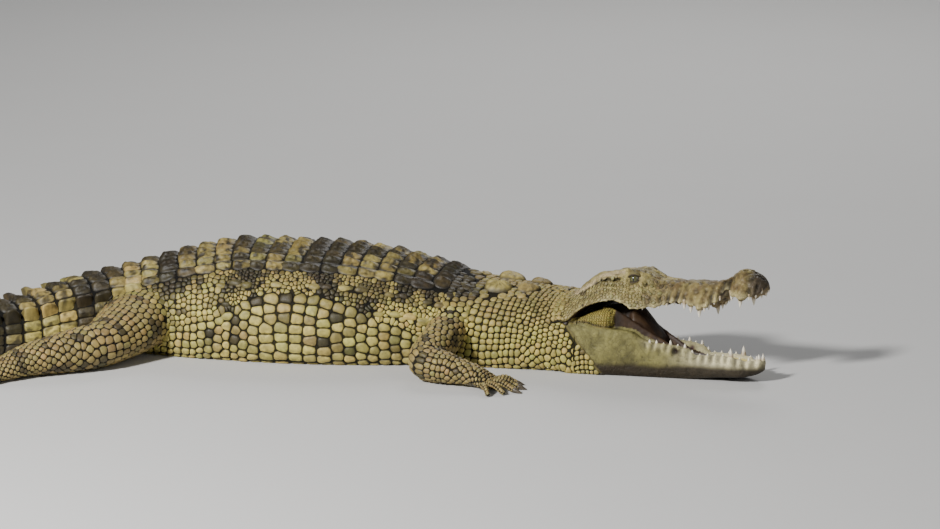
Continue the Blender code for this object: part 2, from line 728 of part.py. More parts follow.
leg(
    ("foreleg_right_upper", "foreleg_right_lower", "forefoot_right"),
    ((0.445, -0.190, 0.125), (0.345, -0.415, 0.052), (0.492, -0.495, 0.036), (0.545, -0.527, 0.014)),
    FORELEG, {"inside": -1, "reach": 0.0}, FORE_TOES,
)  # fmt: skip
leg(
    ("foreleg_left_upper", "foreleg_left_lower", "forefoot_left"),
    ((0.440, 0.075, 0.125), (0.310, 0.280, 0.052), (0.452, 0.378, 0.036), (0.505, 0.412, 0.014)),
    FORELEG, {"inside": 1, "reach": 0.0}, FORE_TOES,
)  # fmt: skip
leg(
    ("hindleg_right_thigh", "hindleg_right_shank", "hindfoot_right"),
    ((-0.400, -0.020, 0.120), (-0.550, -0.265, 0.066), (-0.760, -0.372, 0.047), (-0.868, -0.430, 0.016)),
    HINDLEG, {"inside": -1, "reach": 0.055}, HIND_TOES,
)  # fmt: skip
leg(
    ("hindleg_left_thigh", "hindleg_left_shank", "hindfoot_left"),
    ((-0.400, 0.105, 0.120), (-0.280, 0.340, 0.085), (-0.465, 0.435, 0.047), (-0.405, 0.555, 0.016)),
    HINDLEG, {"inside": 1, "reach": 0.055}, HIND_TOES,
)  # fmt: skip
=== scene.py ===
"""A Nile crocodile basking with open jaws: one skin under a coat of solid scales, on a pale floor."""

import json
import math
import random

import bmesh
import bpy
import numpy as np
from mathutils import Matrix, Vector, noise
from mathutils.bvhtree import BVHTree
from mathutils.kdtree import KDTree

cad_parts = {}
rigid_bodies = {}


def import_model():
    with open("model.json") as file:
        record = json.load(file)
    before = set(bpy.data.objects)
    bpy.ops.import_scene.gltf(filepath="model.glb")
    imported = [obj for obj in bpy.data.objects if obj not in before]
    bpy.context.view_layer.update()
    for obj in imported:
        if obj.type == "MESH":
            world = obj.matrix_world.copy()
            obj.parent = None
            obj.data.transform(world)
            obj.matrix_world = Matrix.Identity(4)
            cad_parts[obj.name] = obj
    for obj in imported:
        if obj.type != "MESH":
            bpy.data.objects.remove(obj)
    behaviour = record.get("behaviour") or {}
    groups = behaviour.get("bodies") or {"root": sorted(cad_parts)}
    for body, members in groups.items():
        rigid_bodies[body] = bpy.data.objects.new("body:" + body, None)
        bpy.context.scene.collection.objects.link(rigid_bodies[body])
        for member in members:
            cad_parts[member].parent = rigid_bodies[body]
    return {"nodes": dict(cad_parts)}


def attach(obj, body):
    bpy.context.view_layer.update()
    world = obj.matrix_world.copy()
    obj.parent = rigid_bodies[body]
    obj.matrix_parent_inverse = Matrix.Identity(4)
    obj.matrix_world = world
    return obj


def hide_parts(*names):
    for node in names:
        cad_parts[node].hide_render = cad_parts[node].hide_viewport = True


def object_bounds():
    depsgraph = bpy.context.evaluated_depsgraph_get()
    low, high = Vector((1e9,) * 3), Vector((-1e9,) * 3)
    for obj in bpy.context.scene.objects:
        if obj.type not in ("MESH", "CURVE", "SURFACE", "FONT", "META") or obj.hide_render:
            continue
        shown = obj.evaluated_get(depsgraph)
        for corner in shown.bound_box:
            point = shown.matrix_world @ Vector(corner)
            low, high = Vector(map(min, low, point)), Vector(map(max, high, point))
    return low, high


for stale in list(bpy.data.objects):
    bpy.data.objects.remove(stale)
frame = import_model()
cad_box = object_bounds()

# ---------------------------------------------------------------- the body's shape
# The same spine, sections and limbs as the solids have. Everything below is set out on these surfaces,
# in metres, with the head towards +X and the animal's right side towards -Y.

HEAD_TURN = math.radians(-25.0)
HEAD_PITCH = math.radians(11.0)
HEAD_ROLL = math.radians(-8.0)
HINGE = Vector((0.798, -0.200, 0.141))
TAIL_TIP = -2.22
TAIL_FRONT = -0.455
NECK_BACK = 0.46
WHORLS = 36
DOUBLE_WHORLS = 19


def curve(*stations):
    """A smooth function of arrays through (place, value) pairs that doesn't overshoot between them."""
    x, y = np.array(stations, float).T
    step = np.diff(x)
    rise = np.diff(y) / step
    both = rise[:-1] * rise[1:]
    inner = np.where(both > 0, 2 * both / np.where(both > 0, rise[:-1] + rise[1:], 1.0), 0.0)
    slope = np.concatenate(([rise[0]], inner, [rise[-1]]))

    def value(at):
        at = np.clip(at, x[0], x[-1])
        k = np.clip(np.searchsorted(x, at, side="right") - 1, 0, len(step) - 1)
        t = (at - x[k]) / step[k]
        start = (1 + 2 * t) * (1 - t) ** 2 * y[k] + t * (1 - t) ** 2 * step[k] * slope[k]
        return start + t * t * (3 - 2 * t) * y[k + 1] + t * t * (t - 1) * step[k] * slope[k + 1]

    return value


def ease(share):
    share = np.clip(share, 0.0, 1.0)
    return share * share * (3 - 2 * share)


def hump(distance, width):
    return np.exp(-((distance / width) ** 2))


def squircle(turn, power):
    c, s = np.cos(turn), np.sin(turn)
    return np.sign(c) * np.abs(c) ** (2 / power), np.sign(s) * np.abs(s) ** (2 / power)


SWAY = curve(
    (TAIL_TIP, -0.345), (-2.0, -0.357), (-1.7, -0.340), (-1.4, -0.280), (-1.1, -0.180),
    (-0.84, -0.075), (-0.65, -0.005), (-0.45, 0.040), (-0.20, 0.042), (0.0, 0.020), (0.20, -0.010),
    (0.40, -0.055), (0.60, -0.118), (0.70, -0.156), (0.798, -0.200), (0.88, -0.238),
)  # fmt: skip
HALF_WIDTH = curve(
    (TAIL_TIP, 0.006), (-2.0, 0.019), (-1.7, 0.034), (-1.4, 0.051), (-1.1, 0.071), (-0.84, 0.094),
    (-0.59, 0.126), (-0.45, 0.165), (-0.30, 0.224), (-0.12, 0.264), (0.05, 0.272), (0.20, 0.258),
    (0.34, 0.228), (0.48, 0.198), (0.62, 0.180), (0.798, 0.149),
)  # fmt: skip
TOP = curve(
    (TAIL_TIP, 0.014), (-2.0, 0.043), (-1.7, 0.074), (-1.4, 0.098), (-1.1, 0.120), (-0.84, 0.138),
    (-0.78, 0.146), (-0.70, 0.172), (-0.59, 0.198), (-0.46, 0.222), (-0.30, 0.264), (-0.15, 0.286),
    (0.10, 0.283), (0.28, 0.264), (0.42, 0.236), (0.52, 0.216), (0.66, 0.208), (0.798, 0.204),
)  # fmt: skip
WIDEST = curve(
    (TAIL_TIP, 0.006), (-1.7, 0.034), (-1.1, 0.055), (-0.59, 0.085), (-0.2, 0.095), (0.1, 0.090),
    (0.45, 0.082), (0.798, 0.085),
)  # fmt: skip
BELLY = curve(
    (TAIL_TIP, -0.001), (-1.4, -0.005), (-0.6, -0.012), (-0.3, -0.032), (0.0, -0.036), (0.6, -0.036),
    (0.798, -0.030),
)  # fmt: skip
CREST = curve(
    (TAIL_TIP, 0.010), (-2.0, 0.034), (-1.6, 0.042), (-1.2, 0.036), (-0.84, 0.023), (-0.5, 0.011),
)  # fmt: skip


def section(x, turn, inset=0.0):
    """Points of the body at x, turned from its left side over the back, set in by inset."""
    c, s = np.cos(turn), np.sin(turn)
    power = np.where(s > 0, 2.35, 3.6)
    across = np.sign(c) * np.abs(c) ** (2 / power) * (HALF_WIDTH(x) - inset)
    up = np.sign(s) * np.abs(s) ** (2 / power)
    level = WIDEST(x)
    up = up * np.where(up > 0, np.maximum(TOP(x) - inset - level, 0.001), level - BELLY(x))
    roll = HEAD_ROLL * ease((x - NECK_BACK) / (HINGE.x - NECK_BACK))
    heading = np.arctan((SWAY(x + 0.004) - SWAY(x - 0.004)) / 0.008)
    side = across * np.cos(roll) - up * np.sin(roll)
    rise = level + across * np.sin(roll) + up * np.cos(roll)
    return np.stack((x - np.sin(heading) * side, SWAY(x) + np.cos(heading) * side, rise), -1)


def limb_path(joints):
    """A smooth line through a limb's joints, and its share of the way from joint to joint."""
    joints = np.array(joints)
    share = np.linspace(-0.3, 3.0, 133)
    line = np.stack([np.interp(share, range(len(joints)), joints[:, k]) for k in range(3)], -1)
    line[share < 0] = joints[0] + share[share < 0, None] * (joints[1] - joints[0])
    padded = np.concatenate((2 * line[:1] - line[1:10][::-1], line, 2 * line[-1:] - line[-10:-1][::-1]))
    weights = np.hanning(21)[1:-1] / np.hanning(21)[1:-1].sum()
    return share, np.stack([np.convolve(padded[:, k], weights, "valid") for k in range(3)], -1)


def limb_rings(joints, wide, thick, turns, inset=0.0):
    share, line = limb_path(joints)
    along = np.gradient(line, axis=0)
    along /= np.linalg.norm(along, axis=1)[:, None]
    side = np.cross(along, (0.0, 0.0, 1.0))
    side /= np.linalg.norm(side, axis=1)[:, None]
    up = np.cross(side, along)
    across = side[:, None] * ((wide(share) - inset)[:, None] * np.cos(turns))[..., None]
    return share, line[:, None] + across + up[:, None] * ((thick(share) - inset)[:, None] * np.sin(turns))[..., None]


FORE_WIDE = curve((-0.3, 0.056), (0.5, 0.054), (1, 0.050), (1.35, 0.049), (1.75, 0.038), (2, 0.035), (2.5, 0.044), (3, 0.048))
FORE_THICK = curve((-0.3, 0.062), (0.5, 0.056), (1, 0.050), (1.35, 0.046), (1.75, 0.034), (2, 0.029), (2.5, 0.021), (3, 0.013))
HIND_WIDE = curve((-0.3, 0.104), (0.5, 0.098), (1, 0.068), (1.35, 0.064), (1.8, 0.052), (2, 0.048), (2.5, 0.052), (3, 0.056))
HIND_THICK = curve((-0.3, 0.085), (0.5, 0.080), (1, 0.064), (1.35, 0.060), (1.8, 0.049), (2, 0.045), (2.5, 0.032), (3, 0.015))
FORE_TOES = ((0.95, 0.75, 0.044, 0.0125), (0.50, 0.30, 0.058, 0.0130), (0.02, 0.02, 0.064, 0.0130),
             (-0.48, -0.28, 0.058, 0.0115), (-0.92, -0.75, 0.044, 0.0100))
HIND_TOES = ((0.90, 0.38, 0.088, 0.0140), (0.32, 0.12, 0.118, 0.0145), (-0.30, -0.12, 0.116, 0.0140),
             (-0.88, -0.42, 0.092, 0.0115))
LIMBS = {
    "foreleg_right": (((0.445, -0.190, 0.125), (0.345, -0.415, 0.052), (0.492, -0.495, 0.036), (0.545, -0.527, 0.014)),
                      FORE_WIDE, FORE_THICK, FORE_TOES, -1),
    "foreleg_left": (((0.440, 0.075, 0.125), (0.310, 0.280, 0.052), (0.452, 0.378, 0.036), (0.505, 0.412, 0.014)),
                     FORE_WIDE, FORE_THICK, FORE_TOES, 1),
    "hindleg_right": (((-0.400, -0.020, 0.120), (-0.550, -0.265, 0.066), (-0.760, -0.372, 0.047), (-0.868, -0.430, 0.016)),
                      HIND_WIDE, HIND_THICK, HIND_TOES, -1),
    "hindleg_left": (((-0.400, 0.105, 0.120), (-0.280, 0.340, 0.085), (-0.465, 0.435, 0.047), (-0.405, 0.555, 0.016)),
                     HIND_WIDE, HIND_THICK, HIND_TOES, 1),
}


def toes_of(limb):
    """Each toe's root, tip and radius, in metres."""
    joints, wide, thick, toes, inside = LIMBS[limb]
    knuckles = np.array(joints[3])
    way = knuckles - np.array(joints[2])
    way[2] = 0
    way /= np.linalg.norm(way)
    out = np.array((way[1], -way[0], 0.0)) * inside
    made = []
    for place, fan, length, radius in toes:
        aim = way * math.cos(fan) + out * math.sin(fan)
        root = knuckles + out * place * wide(3.0) * 0.78 - way * 0.022
        root[2] = 0.016
        tip = root + aim * (length + 0.022)
        tip[2] = radius * 0.55
        made.append((root, tip, radius))
    return made, knuckles, way, out


def toe_rings(root, tip, radius, turns, rings=24):
    share = np.linspace(0, 1, rings)
    line = root + (tip - root) * share[:, None]
    line[:, 2] += 0.011 * np.sin(math.pi * np.minimum(share * 1.15, 1.0))
    along = np.gradient(line, axis=0)
    along /= np.linalg.norm(along, axis=1)[:, None]
    side = np.cross(along, (0.0, 0.0, 1.0))
    side /= np.linalg.norm(side, axis=1)[:, None]
    up = np.cross(side, along)
    thick = radius * (1 - 0.38 * share) * (1 + 0.10 * np.cos(4 * math.pi * share))
    thick[-3:] *= (0.97, 0.88, 0.62)
    across = side[:, None] * (thick[:, None] * np.cos(turns))[..., None]
    return line[:, None] + across + up[:, None] * (0.85 * thick[:, None] * np.sin(turns))[..., None]


# ---------------------------------------------------------------- the head's shape
# The skull with the upper jaw is set out in a lifted frame at the jaw hinge, the lower jaw in a level
# one on the floor. Both lean a little onto the left side.

HEAD = (
    Matrix.Translation(HINGE)
    @ Matrix.Rotation(HEAD_TURN, 4, "Z")
    @ Matrix.Rotation(-HEAD_PITCH, 4, "Y")
    @ Matrix.Rotation(HEAD_ROLL, 4, "X")
)
JAW = (
    Matrix.Translation((HINGE.x, HINGE.y, 0.09))
    @ Matrix.Rotation(HEAD_TURN, 4, "Z")
    @ Matrix.Rotation(HEAD_ROLL, 4, "X")
    @ Matrix.Translation((0, 0, -0.09))
)


def placed(points, matrix):
    """Points of an array moved by a 4 x 4 matrix."""
    matrix = np.array(matrix)
    return points @ matrix[:3, :3].T + matrix[:3, 3]


SKULL_TOP = curve(
    (-0.06, 0.061), (0.0, 0.064), (0.04, 0.071), (0.07, 0.085), (0.09, 0.098), (0.11, 0.107),
    (0.16, 0.109), (0.20, 0.103), (0.235, 0.086), (0.262, 0.071), (0.343, 0.061), (0.435, 0.052),
    (0.48, 0.054), (0.535, 0.054), (0.558, 0.042), (0.568, 0.026),
)  # fmt: skip
LIP = curve(
    (-0.06, -0.016), (0.0, -0.015), (0.047, 0.0125), (0.09, 0.026), (0.132, 0.030), (0.165, 0.019),
    (0.194, 0.0), (0.25, -0.001), (0.307, 0.006), (0.345, -0.001), (0.386, -0.0185), (0.415, -0.0085),
    (0.436, 0.0015), (0.457, 0.025), (0.481, 0.0045), (0.512, -0.003), (0.541, 0.0005), (0.568, 0.0185),
)  # fmt: skip
SKULL_WIDTH = curve(
    (-0.06, 0.150), (0.0, 0.146), (0.05, 0.137), (0.10, 0.125), (0.15, 0.112), (0.20, 0.099),
    (0.25, 0.084), (0.307, 0.069), (0.35, 0.066), (0.386, 0.070), (0.42, 0.060), (0.457, 0.041),
    (0.48, 0.047), (0.505, 0.053), (0.535, 0.047), (0.556, 0.032), (0.568, 0.010),
)  # fmt: skip
DECK_WIDTH = curve(
    (-0.06, 0.050), (0.0, 0.055), (0.05, 0.068), (0.085, 0.072), (0.16, 0.064), (0.20, 0.056),
    (0.235, 0.040), (0.30, 0.028), (0.40, 0.024), (0.457, 0.016), (0.50, 0.026), (0.54, 0.024),
    (0.568, 0.005),
)  # fmt: skip
FULLNESS = curve((-0.06, 0.85), (0.0, 0.75), (0.08, 0.25), (0.18, 0.2), (0.28, 0.8), (0.5, 1.0))
EYE = np.array((0.192, 0.056, 0.0825))
EYE_RADIUS = 0.0185


def skull(x, s):
    """Across and up at share s of the way from the skull's top midline round its side to the palate."""
    top, lip, wide, deck = SKULL_TOP(x), LIP(x), SKULL_WIDTH(x), DECK_WIDTH(x)
    down = np.clip((s - 0.25) / 0.47, 0, 1)
    bend = down * math.pi / 2
    full = FULLNESS(x)
    across = np.where(s < 0.25, deck * s / 0.25, deck + (wide - deck) * (down + full * (np.sin(bend) - down)))
    up = lip + (top - lip) * (1 - down + full * (np.cos(bend) - 1 + down))
    lift = 0.006 * hump(x - 0.205, 0.034) * hump(across - 0.050, 0.022)
    up = up + np.where(s < 0.72, lift + 0.026 * hump(x - 0.505, 0.032) * hump(across, 0.036), 0.0)
    turned = np.clip((s - 0.72) / 0.13, 0, 1)
    inwards = np.clip((s - 0.85) / 0.15, 0, 1)
    across = np.where(s < 0.72, across, (wide - 0.012 * turned) * (1 - inwards))
    return across, np.where(s < 0.72, up, lip + 0.003 * turned + 0.011 * ease(inwards))


JAW_TOP = curve(
    (0.0, 0.120), (0.05, 0.126), (0.09, 0.117), (0.147, 0.116), (0.18, 0.112), (0.20, 0.100),
    (0.24, 0.087), (0.30, 0.0855), (0.34, 0.080), (0.36, 0.0635), (0.395, 0.0655), (0.45, 0.0675),
    (0.487, 0.0630), (0.505, 0.0585), (0.523, 0.0620), (0.548, 0.062),
)  # fmt: skip
JAW_BOTTOM = curve((0.0, -0.032), (0.20, -0.024), (0.35, -0.006), (0.42, 0.004), (0.50, 0.012), (0.548, 0.034))
JAW_WIDTH = curve(
    (0.0, 0.145), (0.06, 0.134), (0.12, 0.120), (0.18, 0.101), (0.24, 0.086), (0.33, 0.070),
    (0.42, 0.057), (0.458, 0.055), (0.50, 0.043), (0.53, 0.028), (0.548, 0.008),
)  # fmt: skip
JAW_WALL = curve((0.0, 0.045), (0.15, 0.036), (0.30, 0.024), (0.45, 0.019), (0.53, 0.012))
TROUGH = curve(
    (0.0, 0.118), (0.02, 0.105), (0.07, 0.070), (0.16, 0.054), (0.34, 0.046), (0.40, 0.050),
    (0.50, 0.048), (0.548, 0.050),
)  # fmt: skip


def jaw(t, s):
    """Across and up at share s from the chin's midline round the outside and over into the mouth."""
    top, bottom, floor, wide = JAW_TOP(t), JAW_BOTTOM(t), TROUGH(t), JAW_WIDTH(t)
    inner = np.maximum(wide - JAW_WALL(t), 0.25 * wide)
    outline = (
        (0.0 * wide, bottom),
        (0.40 * wide, bottom),
        (0.74 * wide, bottom),
        (0.94 * wide, bottom + 0.17 * (top - bottom)),
        (wide, bottom + 0.48 * (top - bottom)),
        (wide - 0.001, top - 0.10 * (top - bottom)),
        (wide - 0.22 * (wide - inner), top),
        (wide - 0.75 * (wide - inner), top - 0.001),
        (inner, top - 0.30 * (top - floor)),
        (0.86 * inner, floor + 0.10 * (top - floor)),
        (0.5 * inner, floor),
        (0.0 * inner, floor),
    )
    at = np.clip(s * (len(outline) - 1), 0, len(outline) - 1.0001)
    k = at.astype(int)
    share = at - k
    across = np.stack([point[0] for point in outline])
    up = np.stack([point[1] for point in outline])
    flat = np.arange(len(t))
    return (
        across[k, flat] * (1 - share) + across[k + 1, flat] * share,
        up[k, flat] * (1 - share) + up[k + 1, flat] * share,
    )


# ---------------------------------------------------------------- skin
# One skin under the whole coat, fused from the forms above, then carved with the head's folds. It lies
# a few millimetres inside the solids on the body and flush with them on the head.


def form(name, points):
    """A closed tube through rows of ring points, capped at both ends."""
    rows, ring = points.shape[:2]
    bm = bmesh.new()
    bmesh.ops.create_grid(bm, x_segments=rows - 1, y_segments=ring, size=0.5)
    bm.verts.ensure_lookup_table()
    for vert in bm.verts:
        row = round((vert.co.x + 0.5) * (rows - 1))
        column = round((vert.co.y + 0.5) * ring) % ring
        vert.co = points[row, column]
    bmesh.ops.remove_doubles(bm, verts=bm.verts, dist=2e-5)
    bmesh.ops.edgeloop_fill(bm, edges=[edge for edge in bm.edges if edge.is_boundary])
    bmesh.ops.triangulate(bm, faces=[face for face in bm.faces if len(face.verts) > 4])
    bmesh.ops.recalc_face_normals(bm, faces=bm.faces)
    mesh = bpy.data.meshes.new(name)
    bm.to_mesh(mesh)
    bm.free()
    return mesh


def fused(name, meshes, voxel, smoothing):
    """The meshes joined into one closed surface of even faces, smoothed."""
    bm = bmesh.new()
    for mesh in meshes:
        bm.from_mesh(mesh)
        bpy.data.meshes.remove(mesh)
    joined = bpy.data.meshes.new(name)
    bm.to_mesh(joined)
    bm.free()
    made = bpy.data.objects.new(name, joined)
    bpy.context.scene.collection.objects.link(made)
    remesh = made.modifiers.new("remesh", "REMESH")
    remesh.mode = "VOXEL"
    remesh.voxel_size = voxel
    relax = made.modifiers.new("relax", "SMOOTH")
    relax.factor = 0.5
    relax.iterations = smoothing
    evaluated = made.evaluated_get(bpy.context.evaluated_depsgraph_get())
    result = bpy.data.meshes.new_from_object(evaluated)
    bpy.data.objects.remove(made)
    bpy.data.meshes.remove(joined)
    return result


COAT = 0.003
FLOOR_GAP = 0.0015
ring = np.linspace(0, 2 * math.pi, 96, endpoint=False)
stations = np.linspace(TAIL_TIP, 0.815, 420)
trunk_points = section(np.repeat(stations[:, None], 96, 1), ring[None, :], np.minimum(COAT, 0.4 * HALF_WIDTH(stations))[:, None])
trunk_points[..., 2] = np.maximum(trunk_points[..., 2], FLOOR_GAP)
body_forms = [form("body", trunk_points)]
ring = np.linspace(0, 2 * math.pi, 40, endpoint=False)
for limb, (joints, wide, thick, toes, inside) in LIMBS.items():
    points = limb_rings(joints, wide, thick, ring, 0.002)[1]
    points[..., 2] = np.maximum(points[..., 2], FLOOR_GAP)
    body_forms.append(form(limb, points))
body_mesh = fused("body", body_forms, 0.006, 16)

head_forms = [body_mesh]
x = -0.08 + 0.648 * (1 - (1 - np.linspace(0, 1, 150)) ** 1.3)
s = np.linspace(-1, 1, 192, endpoint=False)
x, s = (grid.ravel() for grid in np.meshgrid(x, s, indexing="ij"))
across, up = skull(x, np.abs(s))
head_points = placed(np.stack((x, across * np.sign(s), up), -1), HEAD).reshape(150, 192, 3)
head_forms.append(form("skull", head_points))
x = 0.548 * (1 - (1 - np.linspace(-0.02, 1, 130)) ** 1.25)
s = np.linspace(-1, 1, 160, endpoint=False)
x, s = (grid.ravel() for grid in np.meshgrid(x, s, indexing="ij"))
across, up = jaw(np.maximum(x, 0), np.abs(s))
jaw_points = placed(np.stack((x, across * np.sign(s), up), -1), JAW).reshape(130, 160, 3)
jaw_points[..., 2] = np.maximum(jaw_points[..., 2], 0.0006)
head_forms.append(form("jaw", jaw_points))

turns = np.linspace(0, 2 * math.pi, 40, endpoint=False)[None, :]
u = np.linspace(0, 1, 30)[:, None]
t = 0.012 + 0.226 * u
top = curve((0.0, 0.126), (0.05, 0.155), (0.10, 0.178), (0.145, 0.186), (0.175, 0.163), (0.21, 0.127), (0.24, 0.092))(t)
low = TROUGH(t) + 0.012
across, up = squircle(turns, 3.0)
inset = curve((0.0, 0.074), (0.10, 0.068), (0.147, 0.068), (0.17, 0.045), (0.24, 0.042))(t)
lining = np.stack(np.broadcast_arrays(t, across * (JAW_WIDTH(t) - inset), (top + low) / 2 + (top - low) / 2 * up), -1)
head_forms.append(form("lining", placed(lining, JAW)))
t = 0.055 + 0.365 * u
plump = np.sin(math.pi * np.clip(u, 0.03, 0.97)) ** 0.45
across, up = squircle(turns, 2.6)
tongue = np.stack(np.broadcast_arrays(
    t, across * (JAW_WIDTH(t) - JAW_WALL(t)) * 0.72 * plump, TROUGH(t) + 0.002 + 0.016 * up * plump), -1)
head_forms.append(form("tongue", placed(tongue, JAW)))
for side in (-1, 1):
    t = 0.020 + 0.104 * u
    top = curve((0.0, 0.124), (0.02, 0.131), (0.05, 0.148), (0.10, 0.168), (0.15, 0.174))(t)
    low = JAW_TOP(t) - 0.004
    across, up = squircle(turns, 2.3)
    closing = np.sqrt(np.clip(1 - np.clip((u - 0.80) / 0.20, 0, 1) ** 2, 0.02, 1))
    inwards = JAW_WIDTH(t) - 0.036 + (0.026 * across - 0.10 * (top - low) * up) * closing
    corner = np.stack(np.broadcast_arrays(t, side * inwards, (top + low) / 2 + (top - low) / 2 * up * closing), -1)
    head_forms.append(form("corner", placed(corner, JAW)))
    t = 0.09 + 0.245 * u
    top = curve((0.09, 0.178), (0.13, 0.166), (0.166, 0.145), (0.21, 0.119), (0.259, 0.094), (0.30, 0.073), (0.335, 0.055))(t)
    low = TROUGH(t) + 0.004
    across, up = squircle(turns, 2.6)
    inwards = JAW_WIDTH(t) - np.minimum(0.038, 0.5 * JAW_WIDTH(t)) + 0.006 * across
    cheek = np.stack(np.broadcast_arrays(t, side * inwards, (top + low) / 2 + np.maximum(top - low, 0.004) / 2 * up), -1)
    head_forms.append(form("cheek", placed(cheek, JAW)))
ring = np.linspace(0, 2 * math.pi, 20, endpoint=False)
for limb in LIMBS:
    toes, knuckles, way, out = toes_of(limb)
    for root, tip, radius in toes:
        points = toe_rings(root, tip, radius - 0.001, ring)
        points[..., 2] = np.maximum(points[..., 2], 0.0008)
        head_forms.append(form("toe", points))
    if "hind" in limb:
        u = np.linspace(0, 1, 8)[:, None]
        across, up = squircle(np.linspace(0, 2 * math.pi, 32, endpoint=False)[None, :], 3.0)
        spread = 0.056 * (0.85 + 0.42 * u)
        centre = knuckles - way * 0.02 + way * 0.075 * u[..., None]
        web = centre + out * (across * spread)[..., None]
        web[..., 2] = 0.010 - 0.002 * u + up * (0.005 - 0.002 * u)
        head_forms.append(form("web", web))
skin_mesh = fused("skin", head_forms, 0.0034, 3)


def noised(points, size, seed=0):
    """Smooth noise from 0 to 1 over an array of points, with blobs about size metres across."""
    at = np.asarray(points) / size + 17.3 * seed
    cell = np.floor(at).astype(np.int64)
    share = ease(at - cell)
    total = 0.0
    for corner in range(8):
        step = np.array((corner & 1, corner >> 1 & 1, corner >> 2))
        key = ((cell + step) * (73856093, 19349663, 83492791)).sum(-1)
        value = (np.sin(key % 65521 * 12.9898) * 43758.5453) % 1.0
        total = total + value * np.where(step, share, 1 - share).prod(-1)
    return total


def attribute(mesh, name, values, domain="POINT"):
    kind, slot_name = ("FLOAT_COLOR", "color") if np.ndim(values) == 2 else ("FLOAT", "value")
    if kind == "FLOAT_COLOR":
        values = np.concatenate((values, np.ones((len(values), 1))), 1)
    mesh.attributes.new(name, kind, domain).data.foreach_set(slot_name, np.asarray(values, np.float32).ravel())


UPPER_TEETH = (
    (0.556, 0.006), (0.542, 0.008), (0.525, 0.009), (0.499, 0.028), (0.471, 0.021), (0.436, 0.005), (0.422, 0.007),
    (0.407, 0.010), (0.395, 0.013), (0.380, 0.027), (0.354, 0.025), (0.335, 0.020), (0.305, 0.010), (0.284, 0.010),
    (0.262, 0.008), (0.240, 0.006), (0.218, 0.005),
)  # fmt: skip
SOCKETS = (
    (0.556, 0.008, 0.007), (0.535, 0.007, 0.007), (0.503, 0.014, 0.012), (0.475, 0.010, 0.009), (0.427, 0.008, 0.008),
    (0.403, 0.008, 0.0065), (0.379, 0.013, 0.0085), (0.352, 0.0125, 0.0105), (0.324, 0.009, 0.0065), (0.301, 0.008, 0.0075),
    (0.278, 0.006, 0.006), (0.251, 0.0075, 0.009), (0.221, 0.0065, 0.009),
)  # fmt: skip
LOWER_TEETH = [(0.536 - 0.0245 * k + 0.0002 * k * k, length) for k, length in enumerate(
    (0.018, 0.011, 0.006, 0.026, 0.007, 0.005, 0.006, 0.005, 0.010, 0.012, 0.006, 0.014, 0.005, 0.010, 0.009)
)]

count = len(skin_mesh.vertices)
co = np.empty(count * 3)
normal = np.empty(count * 3)
skin_mesh.vertices.foreach_get("co", co)
skin_mesh.vertex_normals.foreach_get("vector", normal)
co, normal = co.reshape(-1, 3), normal.reshape(-1, 3)


def zones(points):
    """How far points lie on the skull and on the lower jaw, from 0 to 1, with their places in each frame."""
    on_skull = placed(points, HEAD.inverted())
    on_jaw = placed(points, JAW.inverted())
    x, side, up = on_skull.T
    above = ease((up - LIP(x) + 0.006) / 0.006)
    skull_zone = above * ease((x + 0.01) / 0.03) * (np.abs(side) < SKULL_WIDTH(x) + 0.02)
    t, side, up = on_jaw.T
    edge = t - 0.095 * (1 - up / 0.12)
    jaw_zone = ease(edge / 0.012 + 0.5) * (up < JAW_TOP(t) + 0.006) * (np.abs(side) < JAW_WIDTH(t) + 0.02)
    return skull_zone * (1 - jaw_zone * (up < 0.13)), jaw_zone, on_skull, on_jaw


